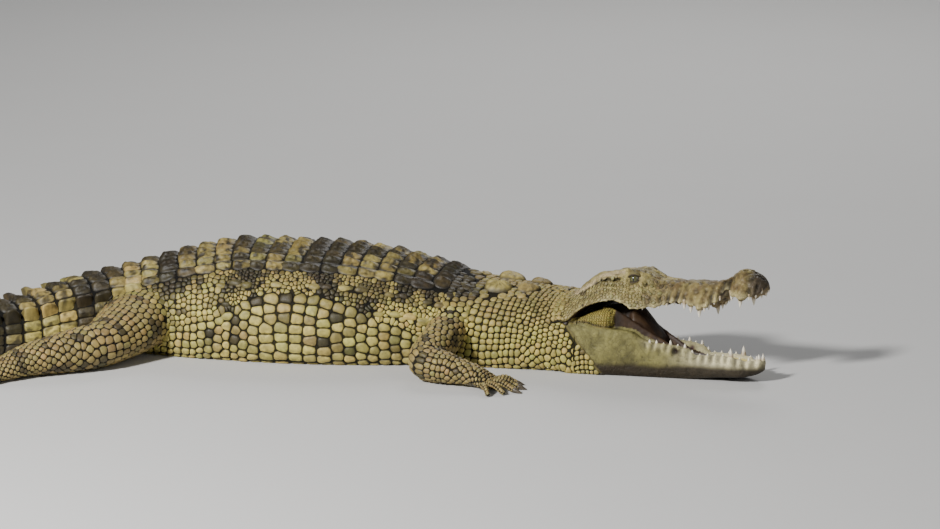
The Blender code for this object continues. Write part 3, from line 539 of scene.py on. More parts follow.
def relief(points):
    """How far the bare skin of the head stands out from its plain form, in metres: sockets, folds, pits."""
    skull_zone, jaw_zone, on_skull, on_jaw = zones(points)
    x, side, up = on_skull[:, 0], np.abs(on_skull[:, 1]), on_skull[:, 2]
    low, deck, top = LIP(x), DECK_WIDTH(x), SKULL_TOP(x)
    flank = ease((side - deck) / 0.008) * skull_zone
    sockets = np.zeros(len(points)) - 0.0036
    for place, height, width in SOCKETS:
        slant = x - place - 0.25 * (up - low)
        sockets += height * hump(slant, width)
    lift = flank * sockets * hump(up - low - 0.013, 0.025) * ease((x - 0.20) / 0.03)
    rough = noised(on_skull * (1, 1, 0.7), 0.014, 2) - 0.5
    fine = noised(on_skull, 0.0075, 1) - 0.5
    coarse = 0.38 + 0.62 * ease((x - 0.13) / 0.07)
    lift += skull_zone * (0.0062 * rough + 0.0040 * fine) * coarse * (0.6 + 0.4 * (flank > 0.5))
    under = up - top + 0.014 + 0.14 * np.maximum(x - 0.09, 0)
    ear = hump(under, 0.0042) * ease((x - 0.025) / 0.02) * ease((0.168 - x) / 0.012)
    crease = hump(up - 0.074 + 0.15 * (x - 0.13), 0.0035) * hump(x - 0.135, 0.024)
    front = hump(up - 0.056 - 0.6 * (x - 0.222), 0.004) * hump(x - 0.226, 0.014)
    cheek = hump(up - low - 0.030 - 0.10 * (x - 0.10), 0.004) * ease((x - 0.02) / 0.03) * ease((0.17 - x) / 0.03)
    lift -= flank * (0.0110 * ear + 0.0045 * crease + 0.0045 * front + 0.0022 * cheek)
    lift += flank * 0.0040 * hump(under - 0.008, 0.0045) * ease((x - 0.01) / 0.02) * ease((0.175 - x) / 0.02)
    lift += flank * 0.0030 * hump(up - 0.066 + 0.15 * (x - 0.13), 0.0035) * hump(x - 0.135, 0.024)
    edge = hump(side - deck + 0.005, 0.006) * hump(up - top, 0.012) * (x < 0.18)
    on_top = skull_zone * (side < deck) * (up > low + 0.03)
    pits = np.abs(noised(on_skull, 0.016, 15) - 0.5)
    lift += skull_zone * 0.0030 * edge - on_top * 0.0030 * ease(1 - pits / 0.10)
    ridges = hump(side - 0.017 - 0.14 * (0.30 - x), 0.005) * hump(x - 0.265, 0.04)
    lift += on_top * (0.0050 * ridges - 0.0022 * hump(side, 0.004) * (x > 0.28))
    nostril = hump(x - 0.512 + 0.35 * (side - 0.014), 0.0048) * hump(side - 0.014, 0.006)
    lift -= on_top * 0.0105 * nostril
    lift += on_top * 0.0030 * hump(np.hypot(x - 0.512, side - 0.014) - 0.0105, 0.0035)
    folds = np.sin((x - 0.44) * 420 + 5 * rough) * hump(x - 0.47, 0.03) * flank
    lift += 0.0012 * folds
    lift -= np.maximum(lift, 0) * ease((x - 0.540) / 0.018) * skull_zone
    t, side, up = on_jaw[:, 0], np.abs(on_jaw[:, 1]), on_jaw[:, 2]
    outer = jaw_zone * ease((side - JAW_WIDTH(t) + 0.016) / 0.008)
    gums = np.zeros(len(points)) - 0.0024 * ease((t - 0.19) / 0.04)
    for place, length in LOWER_TEETH:
        gums += (0.0036 + 0.17 * length) * hump(t - place, 0.0052 + 0.08 * length) * ease((place - 0.16) / 0.05)
    lift += outer * gums * hump(up - JAW_TOP(t) + 0.011, 0.015)
    lift += outer * (0.0022 * (noised(on_jaw, 0.02, 3) - 0.5) + 0.0012 * (noised(on_jaw, 0.008, 4) - 0.5))
    lines = np.abs(noised(on_jaw * (1, 1, 1.8), 0.024, 5) - 0.5)
    lift -= outer * 0.0016 * ease(1 - lines / 0.035) * ease((0.40 - t) / 0.05)
    hole = hump(t - 0.307, 0.008) * hump(up - JAW_TOP(t) + 0.016, 0.008)
    lift -= outer * 0.007 * hole
    bare = np.maximum(skull_zone, jaw_zone)
    return lift + (1 - bare) * 0.0014 * (noised(points, 0.012, 6) - 0.5)


lift = relief(co)
skull_zone, jaw_zone, on_skull, on_jaw = zones(co)
co += normal * lift[:, None]
x, side, up = on_skull[:, 0], np.abs(on_skull[:, 1]), on_skull[:, 2]
raised = 0.0125 * ease((0.14 - x) / 0.08) * ease((x - 0.026) / 0.020) * ease((up - SKULL_TOP(x) + 0.030) / 0.016)
raised = raised * (side < SKULL_WIDTH(x) + 0.02)
co += (np.array(HEAD)[:3, 2])[None] * raised[:, None]
for side_of in (-1, 1):
    eye = np.array(HEAD @ Vector(EYE * (1, side_of, 1)))
    away = co - eye
    distance = np.linalg.norm(away, axis=1)
    sunk = ease((0.0262 - distance) / 0.0035) * skull_zone
    co -= away * (sunk * np.clip(1 - 0.0170 / np.maximum(distance, 1e-6), 0, 1))[:, None]
over = np.maximum(co[:, 2] - cad_box[1][2] + 0.0065, 0)
co[:, 2] = np.maximum(co[:, 2] - over + 0.006 * (1 - np.exp(-over / 0.006)), 0.0005)
skin_mesh.vertices.foreach_set("co", co.ravel())
skin_mesh.update()

skin = bpy.data.objects.new("skin", skin_mesh)
bpy.context.scene.collection.objects.link(skin)
keep = np.maximum(skull_zone, placed(co, JAW.inverted())[:, 0] > 0.0)
thin = skin.vertex_groups.new(name="under the coat")
thin.add([int(k) for k in np.flatnonzero(keep < 0.5)], 1.0, "REPLACE")
collapse = skin.modifiers.new("thin out", "DECIMATE")
collapse.ratio = 0.235
collapse.vertex_group = thin.name
collapse.vertex_group_factor = 1.0
evaluated = skin.evaluated_get(bpy.context.evaluated_depsgraph_get())
skin.data = bpy.data.meshes.new_from_object(evaluated)
skin.modifiers.clear()
skin.vertex_groups.clear()
skin.data.shade_smooth()
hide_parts(*[node for node in frame["nodes"] if not node.startswith(("eye", "claw"))])
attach(skin, "root")
print("skin faces", len(skin.data.polygons), "of", count)

# ---------------------------------------------------------------- markings
# The colours by place, shared by the skin and every scale on it: dark saddles and bands over the back
# and tail, yellow-green flanks, a pale smooth jaw, a brown mouth, and painted shade under the jaw, in the mouth and its
# corners, in the head's folds and at the snout's tip.

PALE = np.array((0.54, 0.455, 0.125))
OLIVE = np.array((0.25, 0.195, 0.058))
TAN = np.array((0.34, 0.235, 0.095))
DARK = np.array((0.024, 0.018, 0.010))
JAW_SKIN = np.array((0.212, 0.190, 0.063))
HEAD_SKIN = np.array((0.31, 0.255, 0.095))
# The mouth lining: dark brown flesh, darkened further with painted shade of the mouth's inside.
LINING = np.array((0.036, 0.019, 0.010))
# The first entry darkens the side near the top, where the neck meets the trunk.
SADDLES = (
    (0.480, 0.208, 0.030),     (0.070, 0.255, 0.050), (0.085, 0.205, 0.026), (-0.145, 0.245, 0.034), (-0.13, 0.18, 0.018), (0.30, 0.215, 0.036),
    (0.19, 0.165, 0.026), (0.36, 0.205, 0.030), (-0.33, 0.215, 0.026), (0.17, 0.275, 0.012), (0.43, 0.215, 0.035),
    (0.575, 0.135, 0.022), (-0.20, 0.150, 0.018), (-0.33, 0.140, 0.015), (0.02, 0.140, 0.016), (0.12, 0.125, 0.013),
    (-0.19, 0.075, 0.013), (0.10, 0.060, 0.011), (-0.28, 0.199, 0.012), (-0.21, 0.199, 0.016), (-0.174, 0.113, 0.018),
    (-0.252, 0.070, 0.016), (-0.042, 0.142, 0.012), (-0.028, 0.185, 0.016), (0.062, 0.070, 0.016), (0.132, 0.055, 0.014),
    (0.098, 0.142, 0.014), (0.112, 0.170, 0.013), (0.266, 0.055, 0.012), (-0.112, 0.040, 0.014),
)  # fmt: skip
BANDS = (
    (-0.365, 0.028, 0.45), (-0.545, 0.028, 0.5), (-0.60, 0.030, 0.8), (-0.69, 0.020, 0.25), (-0.822, 0.048, 1.05),
    (-1.00, 0.035, 0.8), (-1.18, 0.05, 0.9), (-1.36, 0.04, 0.8), (-1.53, 0.05, 0.9), (-1.70, 0.04, 0.8),
    (-1.86, 0.04, 0.9), (-2.00, 0.035, 0.9), (-2.14, 0.05, 1.0),
)  # fmt: skip


def mix(a, b, share):
    return a + (b - a) * np.clip(share, 0, 1)[:, None]


def marked(points):
    """Colour at each point, and the share of bare, coatless skin there."""
    x, y, z = points.T
    patches = noised(points * (1, 1, 1.3), 0.075, 7) * 0.65 + noised(points, 0.028, 8) * 0.35
    back = ease((z / np.maximum(TOP(x), 0.03) - 0.45) / 0.5)
    colour = mix(PALE[None], OLIVE[None], 0.75 * back + 0.5 * (patches - 0.5))
    colour = mix(colour, TAN[None], 0.5 * noised(points, 0.10, 9) * (0.3 + back))
    dark = ease((patches - 0.64 + 0.10 * back) / 0.07) * (0.30 + 0.55 * back) * (x > -0.5) * (z > 0.04)
    wobble = 0.5 + noised(points, 0.03, 10)
    for spot_x, spot_z, size in SADDLES:
        away = np.hypot(x - spot_x, (z - spot_z) * 0.9)
        dark = np.maximum(dark, ease((size * wobble - away) / 0.014 + 0.4))
    for band_x, size, reach in BANDS:
        share = z / np.maximum(TOP(x), 0.02)
        across = ease((size * (0.7 + 0.3 * wobble) - np.abs(x - band_x)) / 0.012 + 0.4)
        dark = np.maximum(dark, across * ease((share - 1 + reach) / 0.2) * (np.abs(y - SWAY(x)) < 0.2))
    skull_zone, jaw_zone, on_skull, on_jaw = zones(points)
    neck = ease((x - 0.48) / 0.06)
    aside = np.abs(y - SWAY(x)) - HALF_WIDTH(x)
    limb = np.maximum((aside > 0.012) * (1 - neck), (aside > 0.05) * (x < 0.70) * (z < 0.12))
    leg_spots = ease((noised(points, 0.03, 11) - 0.66) / 0.06)
    dark = dark * (1 - 0.8 * neck) * (1 - limb) + limb * leg_spots * 0.8
    colour = mix(colour, (0.68 * TAN + 0.12 * PALE)[None], 0.85 * limb)
    colour = mix(colour, DARK[None], dark * 0.93)
    blotch = 0.6 * noised(on_skull, 0.022, 12) + 0.4 * noised(on_skull, 0.009, 24)
    skull_tint = mix(HEAD_SKIN[None], TAN[None] * 0.36, 1.7 * (blotch - 0.40) + 0.62 * ease((on_skull[:, 0] - 0.20) / 0.12))
    # Painted shade: the tip of the snout is darkened to near black, standing in for its shaded front.
    skull_tint = mix(skull_tint, np.array([(0.045, 0.034, 0.026)]), 0.80 * ease((on_skull[:, 0] - 0.518) / 0.022))
    rim = hump(on_skull[:, 2] - LIP(on_skull[:, 0]), 0.012) * (on_skull[:, 0] > 0.10) * (on_skull[:, 0] < 0.53)
    skull_tint = mix(skull_tint, np.array([(0.50, 0.43, 0.22)]), 0.70 * rim)
    edge_band = hump(on_skull[:, 2] - SKULL_TOP(on_skull[:, 0]) + 0.005, 0.006) * (on_skull[:, 0] < 0.17)
    skull_tint = mix(skull_tint, np.array([(0.50, 0.39, 0.25)]), 0.6 * edge_band)
    colour = mix(colour, skull_tint, skull_zone)
    blotch = 0.6 * noised(on_jaw, 0.03, 13) + 0.4 * noised(on_jaw, 0.010, 25)
    jaw_tint = mix(JAW_SKIN[None], np.array([(0.085, 0.075, 0.026)]), 2.0 * (blotch - 0.43))
    jaw_tint = mix(jaw_tint, np.array([(0.60, 0.54, 0.33)]), ease((on_jaw[:, 0] - 0.25) / 0.19))
    rim = hump(on_jaw[:, 2] - JAW_TOP(on_jaw[:, 0]) + 0.007, 0.012) * ease((on_jaw[:, 0] - 0.19) / 0.04)
    jaw_tint = mix(jaw_tint, np.array([(0.46, 0.41, 0.22)]), 0.60 * rim * ease((0.36 - on_jaw[:, 0]) / 0.06))
    # Painted shade: the underside of the lower jaw is darkened to near black, standing in for the shade beneath it.
    wave = 0.010 * (noised(on_jaw, 0.05, 16) - 0.5)
    painted_underside_shade = ease((0.026 + 0.05 * on_jaw[:, 0] + wave - on_jaw[:, 2]) / 0.022)
    jaw_tint = mix(jaw_tint, np.array([(0.020, 0.013, 0.007)]), 0.97 * painted_underside_shade)
    # The socket pit is painted dark red-brown: partly its flesh, partly painted shade in the hollow.
    hole = hump(on_jaw[:, 0] - 0.307, 0.009) * hump(on_jaw[:, 2] - JAW_TOP(on_jaw[:, 0]) + 0.016, 0.009)
    jaw_tint = mix(jaw_tint, np.array([(0.045, 0.012, 0.010)]), 1.1 * hole)
    # Painted shade: a dark line along the rear edge of the lower jaw, standing in for the shade in the fold there.
    painted_fold_shade = hump(on_jaw[:, 0] - 0.095 * (1 - on_jaw[:, 2] / 0.12) - 0.003, 0.0055) * (on_jaw[:, 2] < 0.125)
    jaw_tint = mix(jaw_tint, np.array([(0.055, 0.043, 0.018)]), 0.80 * painted_fold_shade)
    colour = mix(colour, jaw_tint, jaw_zone)
    t, side, up = on_jaw[:, 0], np.abs(on_jaw[:, 1]), on_jaw[:, 2]
    inside = (t > 0.03) * (side < JAW_WIDTH(t) - 1.12 * JAW_WALL(t)) * (up > TROUGH(t) - 0.012)
    inside = inside * (up < JAW_TOP(t) + 0.12) * (on_skull[:, 2] < LIP(on_skull[:, 0]) + 0.016)
    palate = (on_skull[:, 0] > 0.0) * (on_skull[:, 2] < LIP(on_skull[:, 0]) + 0.010) * (up > JAW_TOP(t) + 0.005)
    palate = palate * (np.abs(on_skull[:, 1]) < SKULL_WIDTH(on_skull[:, 0]) - 0.007)
    mouth = np.maximum(inside, palate)
    # Painted shade: the mouth's inside takes the near-black lining, partly its brown flesh and partly the shade within
    # the mouth.
    mouth_tint = mix(LINING[None], np.array([(0.085, 0.048, 0.022)]), 1.6 * (noised(points * (1, 1, 0.4), 0.014, 14) - 0.45))
    mouth_tint = mix(mouth_tint, np.array([(0.50, 0.41, 0.15)]), ease((t - 0.37) / 0.06) * (up < JAW_TOP(t) + 0.02))
    mouth_tint = mix(mouth_tint, np.array([(0.17, 0.125, 0.060)]), ease((t - 0.25) / 0.10) * (up > JAW_TOP(t) + 0.02))
    colour = mix(colour, mouth_tint, mouth * 1.0)
    corner = (up > JAW_TOP(t) - 0.001) * (up < JAW_TOP(t) + 0.055) * (side > JAW_WIDTH(t) - 0.062)
    corner = corner * (on_skull[:, 2] < LIP(on_skull[:, 0]) - 0.002)
    # Painted shadow: a near-black band at the mouth corner, standing in for the shade in the gap under the upper jaw.
    colour = mix(colour, np.array([(0.016, 0.010, 0.005)]), 0.8 * corner * hump(t - 0.133, 0.009))
    wedge = (t > 0.0) * ease((0.1255 - t) / 0.004) * corner
    colour = mix(colour, np.array([(0.36, 0.285, 0.060)]), wedge * 0.9)
    # Painted shade: a dark line in the crease where the corner skin meets the jaw.
    colour = mix(colour, np.array([(0.045, 0.034, 0.016)]), 0.85 * wedge * hump(up - JAW_TOP(t) - 0.003, 0.0045))
    return colour, np.maximum(np.maximum(skull_zone, jaw_zone), np.maximum(mouth, wedge)), mouth * (1 - wedge)


count = len(skin.data.vertices)
co = np.empty(count * 3)
skin.data.vertices.foreach_get("co", co)
co = co.reshape(-1, 3)
colour, bare, mouth = marked(co)
# Painted light and shade: the bare skin is darkened in the hollows of its relief and lightened on its bumps.
painted_relief_shading = np.clip(1 + 260 * relief(co), 0.22, 1.40)[:, None]
# Under the coat the skin is near black: partly its dark colour between the scales, partly painted shade in the grooves.
attribute(skin.data, "tint", mix(colour * 0.035, np.clip(colour * painted_relief_shading, 0, 0.9), bare))
attribute(skin.data, "bare", bare * (1 - mouth) * (1 - 0.25 * zones(co)[1]))
attribute(skin.data, "mouth", mouth.astype(float))
skin_tree = BVHTree.FromPolygons([Vector(point) for point in co], [list(face.vertices) for face in skin.data.polygons])

# ---------------------------------------------------------------- the coat's sheets
# A sheet is one of the forms above laid out in even columns. Scales are set on it by row and column,
# then pressed onto the skin, each with its own patch of the unwrap.


class Sheet:
    def __init__(self, points, corner, size, columns=256):
        """Rows of closed rings, evened out round each ring, unwrapped into a box of the coat's map."""
        half = len(points) // 2
        around, along = points[half, 1] - points[half, 0], points[half + 1, 0] - points[half, 0]
        if np.cross(around, along) @ (points[half, 0] - points[half].mean(0)) < 0:
            points = points[:, ::-1]
        loop = np.concatenate((points, points[:, :1]), 1)
        steps = np.linalg.norm(np.diff(loop, axis=1), axis=2)
        gone = np.concatenate((np.zeros((len(loop), 1)), np.cumsum(steps, 1)), 1)
        self.girth = gone[:, -1]
        even = np.linspace(0, 1, columns + 1)
        self.points = np.stack([
            np.stack([np.interp(even * total, row, ring_of[:, k]) for k in range(3)], -1)
            for ring_of, row, total in zip(loop, gone, self.girth)
        ])
        self.rows, self.columns = len(loop) - 1, columns
        self.corner, self.size = np.array(corner), np.array(size)
        middle = self.points.mean(1)
        self.length = np.concatenate(([0], np.cumsum(np.linalg.norm(np.diff(middle, axis=0), axis=1))))

    def at(self, row, column):
        row = np.clip(row, 0, self.rows - 1e-6)
        column = column % self.columns
        i, j = row.astype(int), column.astype(int)
        a, b = (row - i)[..., None], (column - j)[..., None]
        p = self.points
        j2 = np.minimum(j + 1, self.columns)
        return (p[i, j] * (1 - b) + p[i, j2] * b) * (1 - a) + (p[i + 1, j] * (1 - b) + p[i + 1, j2] * b) * a

    def row_at(self, length):
        return np.interp(length, self.length, np.arange(self.rows + 1))

    def frame(self, row, column):
        """Places, steps along and around per row and column, and outward directions."""
        inner = np.clip(row, 0.5, self.rows - 0.5)
        along = self.at(inner + 0.5, column) - self.at(inner - 0.5, column)
        around = self.at(row, column + 0.5) - self.at(row, column - 0.5)
        outward = np.cross(around, along)
        outward /= np.linalg.norm(outward, axis=1)[:, None] + 1e-12
        return self.at(row, column), along, around, outward


def fitted(sheet, row, column, size, groove, most=1.5, bases=None):
    """Reach of each scale at 24 even turns, in metres, so that scales meet at a groove: bigger sizes get more."""
    root, along, around, outward = sheet.frame(row, column)
    root = root if bases is None else bases
    along /= np.linalg.norm(along, axis=1)[:, None] + 1e-12
    around /= np.linalg.norm(around, axis=1)[:, None] + 1e-12
    size = np.broadcast_to(np.asarray(size, float), len(root))
    tree = KDTree(len(root))
    for k, point in enumerate(root):
        tree.insert(point, k)
    tree.balance()
    count = min(15, len(root))
    near = np.array([[found[1] for found in tree.find_n(point, count)][1:] for point in root])
    gap = root[near] - root[:, None]
    ahead, aside = (gap * along[:, None]).sum(2), (gap * around[:, None]).sum(2)
    distance = np.hypot(ahead, aside) + 1e-6
    limit = distance * size[:, None] / (size[:, None] + size[near])
    turn = np.arange(24) * math.pi / 12
    facing = (ahead[..., None] * np.cos(turn) + aside[..., None] * np.sin(turn)) / distance[..., None]
    tight = ((np.clip(facing, 0, 1) / limit[..., None]) ** 12).sum(1) ** (1 / 12)
    return np.maximum(1 / np.maximum(tight, 1 / (most * size[:, None])) - groove, 0.0008)


def on_skin(root, outward, reach):
    """Which places lie on the skin and face out of it, and the skin's directions there."""
    hits = [skin_tree.find_nearest(Vector(point)) for point in root]
    normals = np.array([hit[1] for hit in hits])
    return (np.array([hit[3] for hit in hits]) < reach) & ((normals * outward).sum(1) > 0.2), normals


taken = []


def uncrowded(places, distance):
    """Which places have no scale of an earlier coat within a distance."""
    tree = KDTree(len(taken))
    for k, point in enumerate(taken):
        tree.insert(point, k)
    tree.balance()
    return np.array([tree.find(skin_tree.find_nearest(Vector(point))[0])[2] > distance for point in places])


class Coat:
    """Scales gathered into one joined mesh."""

    def __init__(self, name):
        self.name, self.points, self.faces, self.tints, self.maps, self.rims = name, [], [], [], [], []
        self.count, self.bases = 0, []

    def add(self, sheet, row, column, long, wide, shape, tall, keel=0.0, power=3.0, tone=1.0, jumble=0.06, tail=0.0,
            rough=0.0, reach=0.010, fit=None, mottle=0.0, blur=0.006):
        """Adds scales at rows and columns of a sheet: half length and half width in metres, height, keel and
        squareness, each a number or one per scale."""
        row, column = np.broadcast_arrays(np.asarray(row, float), np.asarray(column, float))
        n = len(row)
        if not n:
            return
        long, wide, tall, keel, power = (np.broadcast_to(np.asarray(v, float), n) for v in (long, wide, tall, keel, power))
        root, along, around, outward = sheet.frame(row, column)
        step_row, step_column = np.linalg.norm(along, axis=1) + 1e-9, np.linalg.norm(around, axis=1) + 1e-9
        snug = fit is not None
        fit = fit if snug else np.ones((n, 24))
        kept, normals = on_skin(root, outward, reach)
        row, column, long, wide, tall, keel, power, root, outward, normals, step_row, step_column, fit = (
            v[kept] for v in (row, column, long, wide, tall, keel, power, root, outward, normals, step_row,
                              step_column, fit)
        )
        n = len(row)
        if not n:
            return
        rng = np.random.default_rng(len(self.points) + 31 * n)
        a, b, ring_share = shape["a"], shape["b"], shape["r"]
        turn = np.arctan2(b, a)
        if shape.get("plain"):
            power = np.full(n, 2.0)
        square = (np.abs(np.cos(turn)) ** power[:, None] + np.abs(np.sin(turn)) ** power[:, None]) ** (-1 / power[:, None])
        ragged = 1 + jumble * np.sin(turn * 2 + rng.uniform(0, 6.3, (n, 1))) + jumble * np.sin(turn * 3 + rng.uniform(0, 6.3, (n, 1)))
        if snug:
            place = turn % (2 * math.pi) * 12 / math.pi
            low, share = place.astype(int) % 24, place % 1
            square = fit[:, low] * (1 - share) + fit[:, (low + 1) % 24] * share
            da = a * square * ragged / long[:, None]
            db = b * square * ragged / wide[:, None]
        else:
            da = a * square * ragged
            db = b * square * ragged
        lean = rng.normal(0, jumble, (n, 1)) * (not snug)
        far = (1.8 * long * sheet.rows / sheet.length[-1])[:, None]
        at_row = row[:, None] + np.clip((da + lean * db) * (long / step_row)[:, None], -far, far)
        at_column = column[:, None] + (db - lean * da) * (wide / step_column)[:, None]
        spot = sheet.at(at_row, at_column)
        base = root + (np.array([skin_tree.find_nearest(Vector(point))[0] for point in root]) - root)
        shift = base - root
        self.bases += [Vector(point) for point in base]
        flat = spot.reshape(-1, 3)
        near = np.array([skin_tree.find_nearest(Vector(point))[0] for point in flat]).reshape(spot.shape)
        off = np.linalg.norm(near - spot - shift[:, None], axis=2)
        pressed = ease((0.0080 - off.max(1)) / 0.0035)[:, None, None]
        spot = near * pressed + (spot + shift[:, None]) * (1 - pressed)
        rise = 0.0006 + shape["h"] * tall[:, None] * rng.uniform(0.85, 1.15, (n, 1))
        ridge = np.exp(-((db / 0.20) ** 2)) * np.clip(1 - (ring_share / 1.0) ** 4, 0, 1) * (0.62 - 0.38 * np.clip(da, -1, 1))
        rise = rise + ridge * keel[:, None] - tail * tall[:, None] * da * shape["h"]
        rise = rise + rough * (noised(spot, 0.007, 17) - 0.5) * shape["h"]
        up = normals * 0.7 + outward * 0.3
        up /= np.linalg.norm(up, axis=1)[:, None]
        made = spot + up[:, None] * np.where(ring_share > 1.001, -0.0022, rise)[..., None]
        made = np.clip(made, np.array(cad_box[0]) + 0.0004, np.array(cad_box[1]) - 0.0004)
        colour = marked(root + rng.normal(0, blur, root.shape))[0] * rng.uniform(0.70, 1.12, (n, 1)) * tone
        colour = (colour * (1 + rng.normal(0, 0.035, (n, 3))))[:, None] * np.ones((1, len(a), 1))
        if mottle:
            worn = 1 + mottle * 1.6 * (noised(spot, 0.0075, 21) - 0.5) + mottle * (noised(spot, 0.003, 22) - 0.5)
            stain = ease((noised(spot, 0.013, 23) - 0.60) / 0.12)[..., None] * mottle * 1.3
            colour = colour * worn[..., None] * (1 - np.clip(stain, 0, 0.92)) + DARK * np.clip(stain, 0, 0.92)
        place = np.stack((row / sheet.rows, column % sheet.columns / sheet.columns), -1)
        place = sheet.corner + (0.01 + 0.98 * place) * sheet.size
        patch = place[:, None] + 0.0015 * np.stack((a, b), -1) / 1.0
        size = len(a)
        self.faces += [
            tuple(k + start for k in face)
            for start in range(self.count, self.count + n * size, size)
            for face in shape["faces"]
        ]
        self.count += n * size
        self.points.append(made.reshape(-1, 3))
        self.tints.append(np.clip(colour, 0.004, 0.9).reshape(-1, 3))
        self.maps.append(patch.reshape(-1, 2))
        self.rims.append(np.tile(np.minimum(ring_share, 1.0), n))

    def finish(self, material):
        mesh = bpy.data.meshes.new(self.name)
        points = np.concatenate(self.points)
        mesh.from_pydata(points.tolist(), [], self.faces)
        attribute(mesh, "tint", np.concatenate(self.tints))
        attribute(mesh, "rim", np.concatenate(self.rims))
        corners = np.empty(len(mesh.loops), np.int32)
        mesh.loops.foreach_get("vertex_index", corners)
        mesh.uv_layers.new(name="OFBake").data.foreach_set("uv", np.concatenate(self.maps)[corners].ravel())
        mesh.shade_smooth()
        mesh.materials.append(material)
        made = bpy.data.objects.new(self.name, mesh)
        bpy.context.scene.collection.objects.link(made)
        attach(made, "root")
        taken.extend(self.bases)
        print(self.name, len(mesh.polygons), "faces", sum(len(face) - 2 for face in self.faces), "tris")
        return made


def plate_shape(spokes, rings):
    """A domed plate: a centre, rings out to the edge, and a skirt that sinks into the skin."""
    turns = np.arange(spokes) * 2 * math.pi / spokes
    radii = [0.0] + list(rings) + [1.03]
    a, b, r, h = [0.0], [0.0], [0.0], [1.0]
    for radius in radii[1:]:
        a += list(radius * np.cos(turns))
        b += list(radius * np.sin(turns))
        r += [radius] * spokes
        h += [max(0.0, 1 - radius**3.2) ** 0.5 if radius < 1 else 0.12] * spokes
    faces = [(0, 1 + k, 1 + (k + 1) % spokes) for k in range(spokes)]
    for ring in range(len(radii) - 2):
        inner, outer = 1 + ring * spokes, 1 + (ring + 1) * spokes
        faces += [(inner + k, outer + k, outer + (k + 1) % spokes, inner + (k + 1) % spokes) for k in range(spokes)]
    return {"a": np.array(a), "b": np.array(b), "r": np.array(r), "h": np.array(h), "faces": faces}


BEAD = plate_shape(10, (0.5, 0.82, 1.0))
PLATE = plate_shape(14, (0.5, 0.85, 1.0))
SCUTE = plate_shape(20, (0.25, 0.5, 0.72, 0.88, 1.0))

# ---------------------------------------------------------------- shader maths


class Wire:
    """A shader socket that takes part in sums, so that shader maths reads as Python."""

    def __init__(self, tree, socket):
        self.tree, self.socket = tree, socket

    def node(self, kind, settings=None, sockets=None, output=0):
        made = self.tree.nodes.new("ShaderNode" + kind)
        for name, value in (settings or {}).items():
            setattr(made, name, value)
        for name, value in (sockets or {}).items():
            if isinstance(value, Wire):
                self.tree.links.new(made.inputs[name], value.socket)
            else:
                made.inputs[name].default_value = value
        return Wire(self.tree, made.outputs[output])

    def maths(self, operation, a, b=0.0):
        return self.node("Math", {"operation": operation}, {0: a, 1: b})

    def __add__(self, other):
        return self.maths("ADD", self, other)

    def __sub__(self, other):
        return self.maths("SUBTRACT", self, other)

    def __rsub__(self, other):
        return self.maths("SUBTRACT", other, self)

    def __mul__(self, other):
        return self.maths("MULTIPLY", self, other)

    def __truediv__(self, other):
        return self.maths("DIVIDE", self, other)

    def __pow__(self, other):
        return self.maths("POWER", self, other)

    def __abs__(self):
        return self.maths("ABSOLUTE", self)

    __radd__ = __add__
    __rmul__ = __mul__

    def between(self, low, high):
        """0 at low, 1 at high, smooth between."""
        return self.node("MapRange", {"interpolation_type": "SMOOTHSTEP"}, {0: self, 1: low, 2: high})

    def blend(self, a, b):
        """Colour a where this is 0, b where it is 1."""
        mixed = self.node("Mix", {"data_type": "RGBA"}, {0: self, 6: a, 7: b}, 2)
        return mixed

    def attribute(self, name, output=2):
        return self.node("Attribute", {"attribute_name": name}, None, output)

    def noise(self, place, scale, detail=3.0):
        return self.node("TexNoise", None, {"Vector": place, "Scale": scale, "Detail": detail})

    def bump(self, height, distance, strength=1.0):
        return self.node("Bump", None, {"Height": height, "Distance": distance, "Strength": strength})


def new_material(name):
    """A material with its shader, a first wire and the place of each point in metres."""
    material = bpy.data.materials.new(name)
    material.use_nodes = True
    tree = material.node_tree
    shader = tree.nodes["Principled BSDF"]
    first = Wire(tree, None)
    place = first.node("TexCoord", None, None, 3)
    return material, shader, first, place


def plug(shader, **wires):
    for name, wire in wires.items():
        wire.tree.links.new(shader.inputs[name.replace("_", " ")], wire.socket)


# Hide of the scales: worn crowns, dark rims that are partly dark hide and partly painted shade in the grooves, fine
# wrinkles and a waxy sheen.
hide, shader, first, place = new_material("scale")
tint = first.attribute("tint", 0)
rim = first.attribute("rim")
grain = first.noise(place, 320.0, 4.0)
wear = first.noise(place, 90.0, 3.0)
shade = first.node("CombineColor", None, {0: 0.45 + 0.8 * wear, 1: 0.45 + 0.8 * wear, 2: 0.42 + 0.76 * wear})
worn = first.node("Mix", {"data_type": "RGBA", "blend_type": "MULTIPLY"}, {0: 1.0, 6: tint, 7: shade}, 2)
# Dark rims: partly the hide's dark edges, partly painted shade in the grooves between scales.
edge = rim.between(0.84, 1.03)
final = (edge * 0.86).blend(worn, (0.018, 0.015, 0.010, 1.0))
plug(shader, Base_Color=final, Roughness=0.40 + 0.28 * grain, Normal=first.bump(grain + 0.8 * wear, 0.0012, 0.7))
shader.inputs["Specular IOR Level"].default_value = 0.45

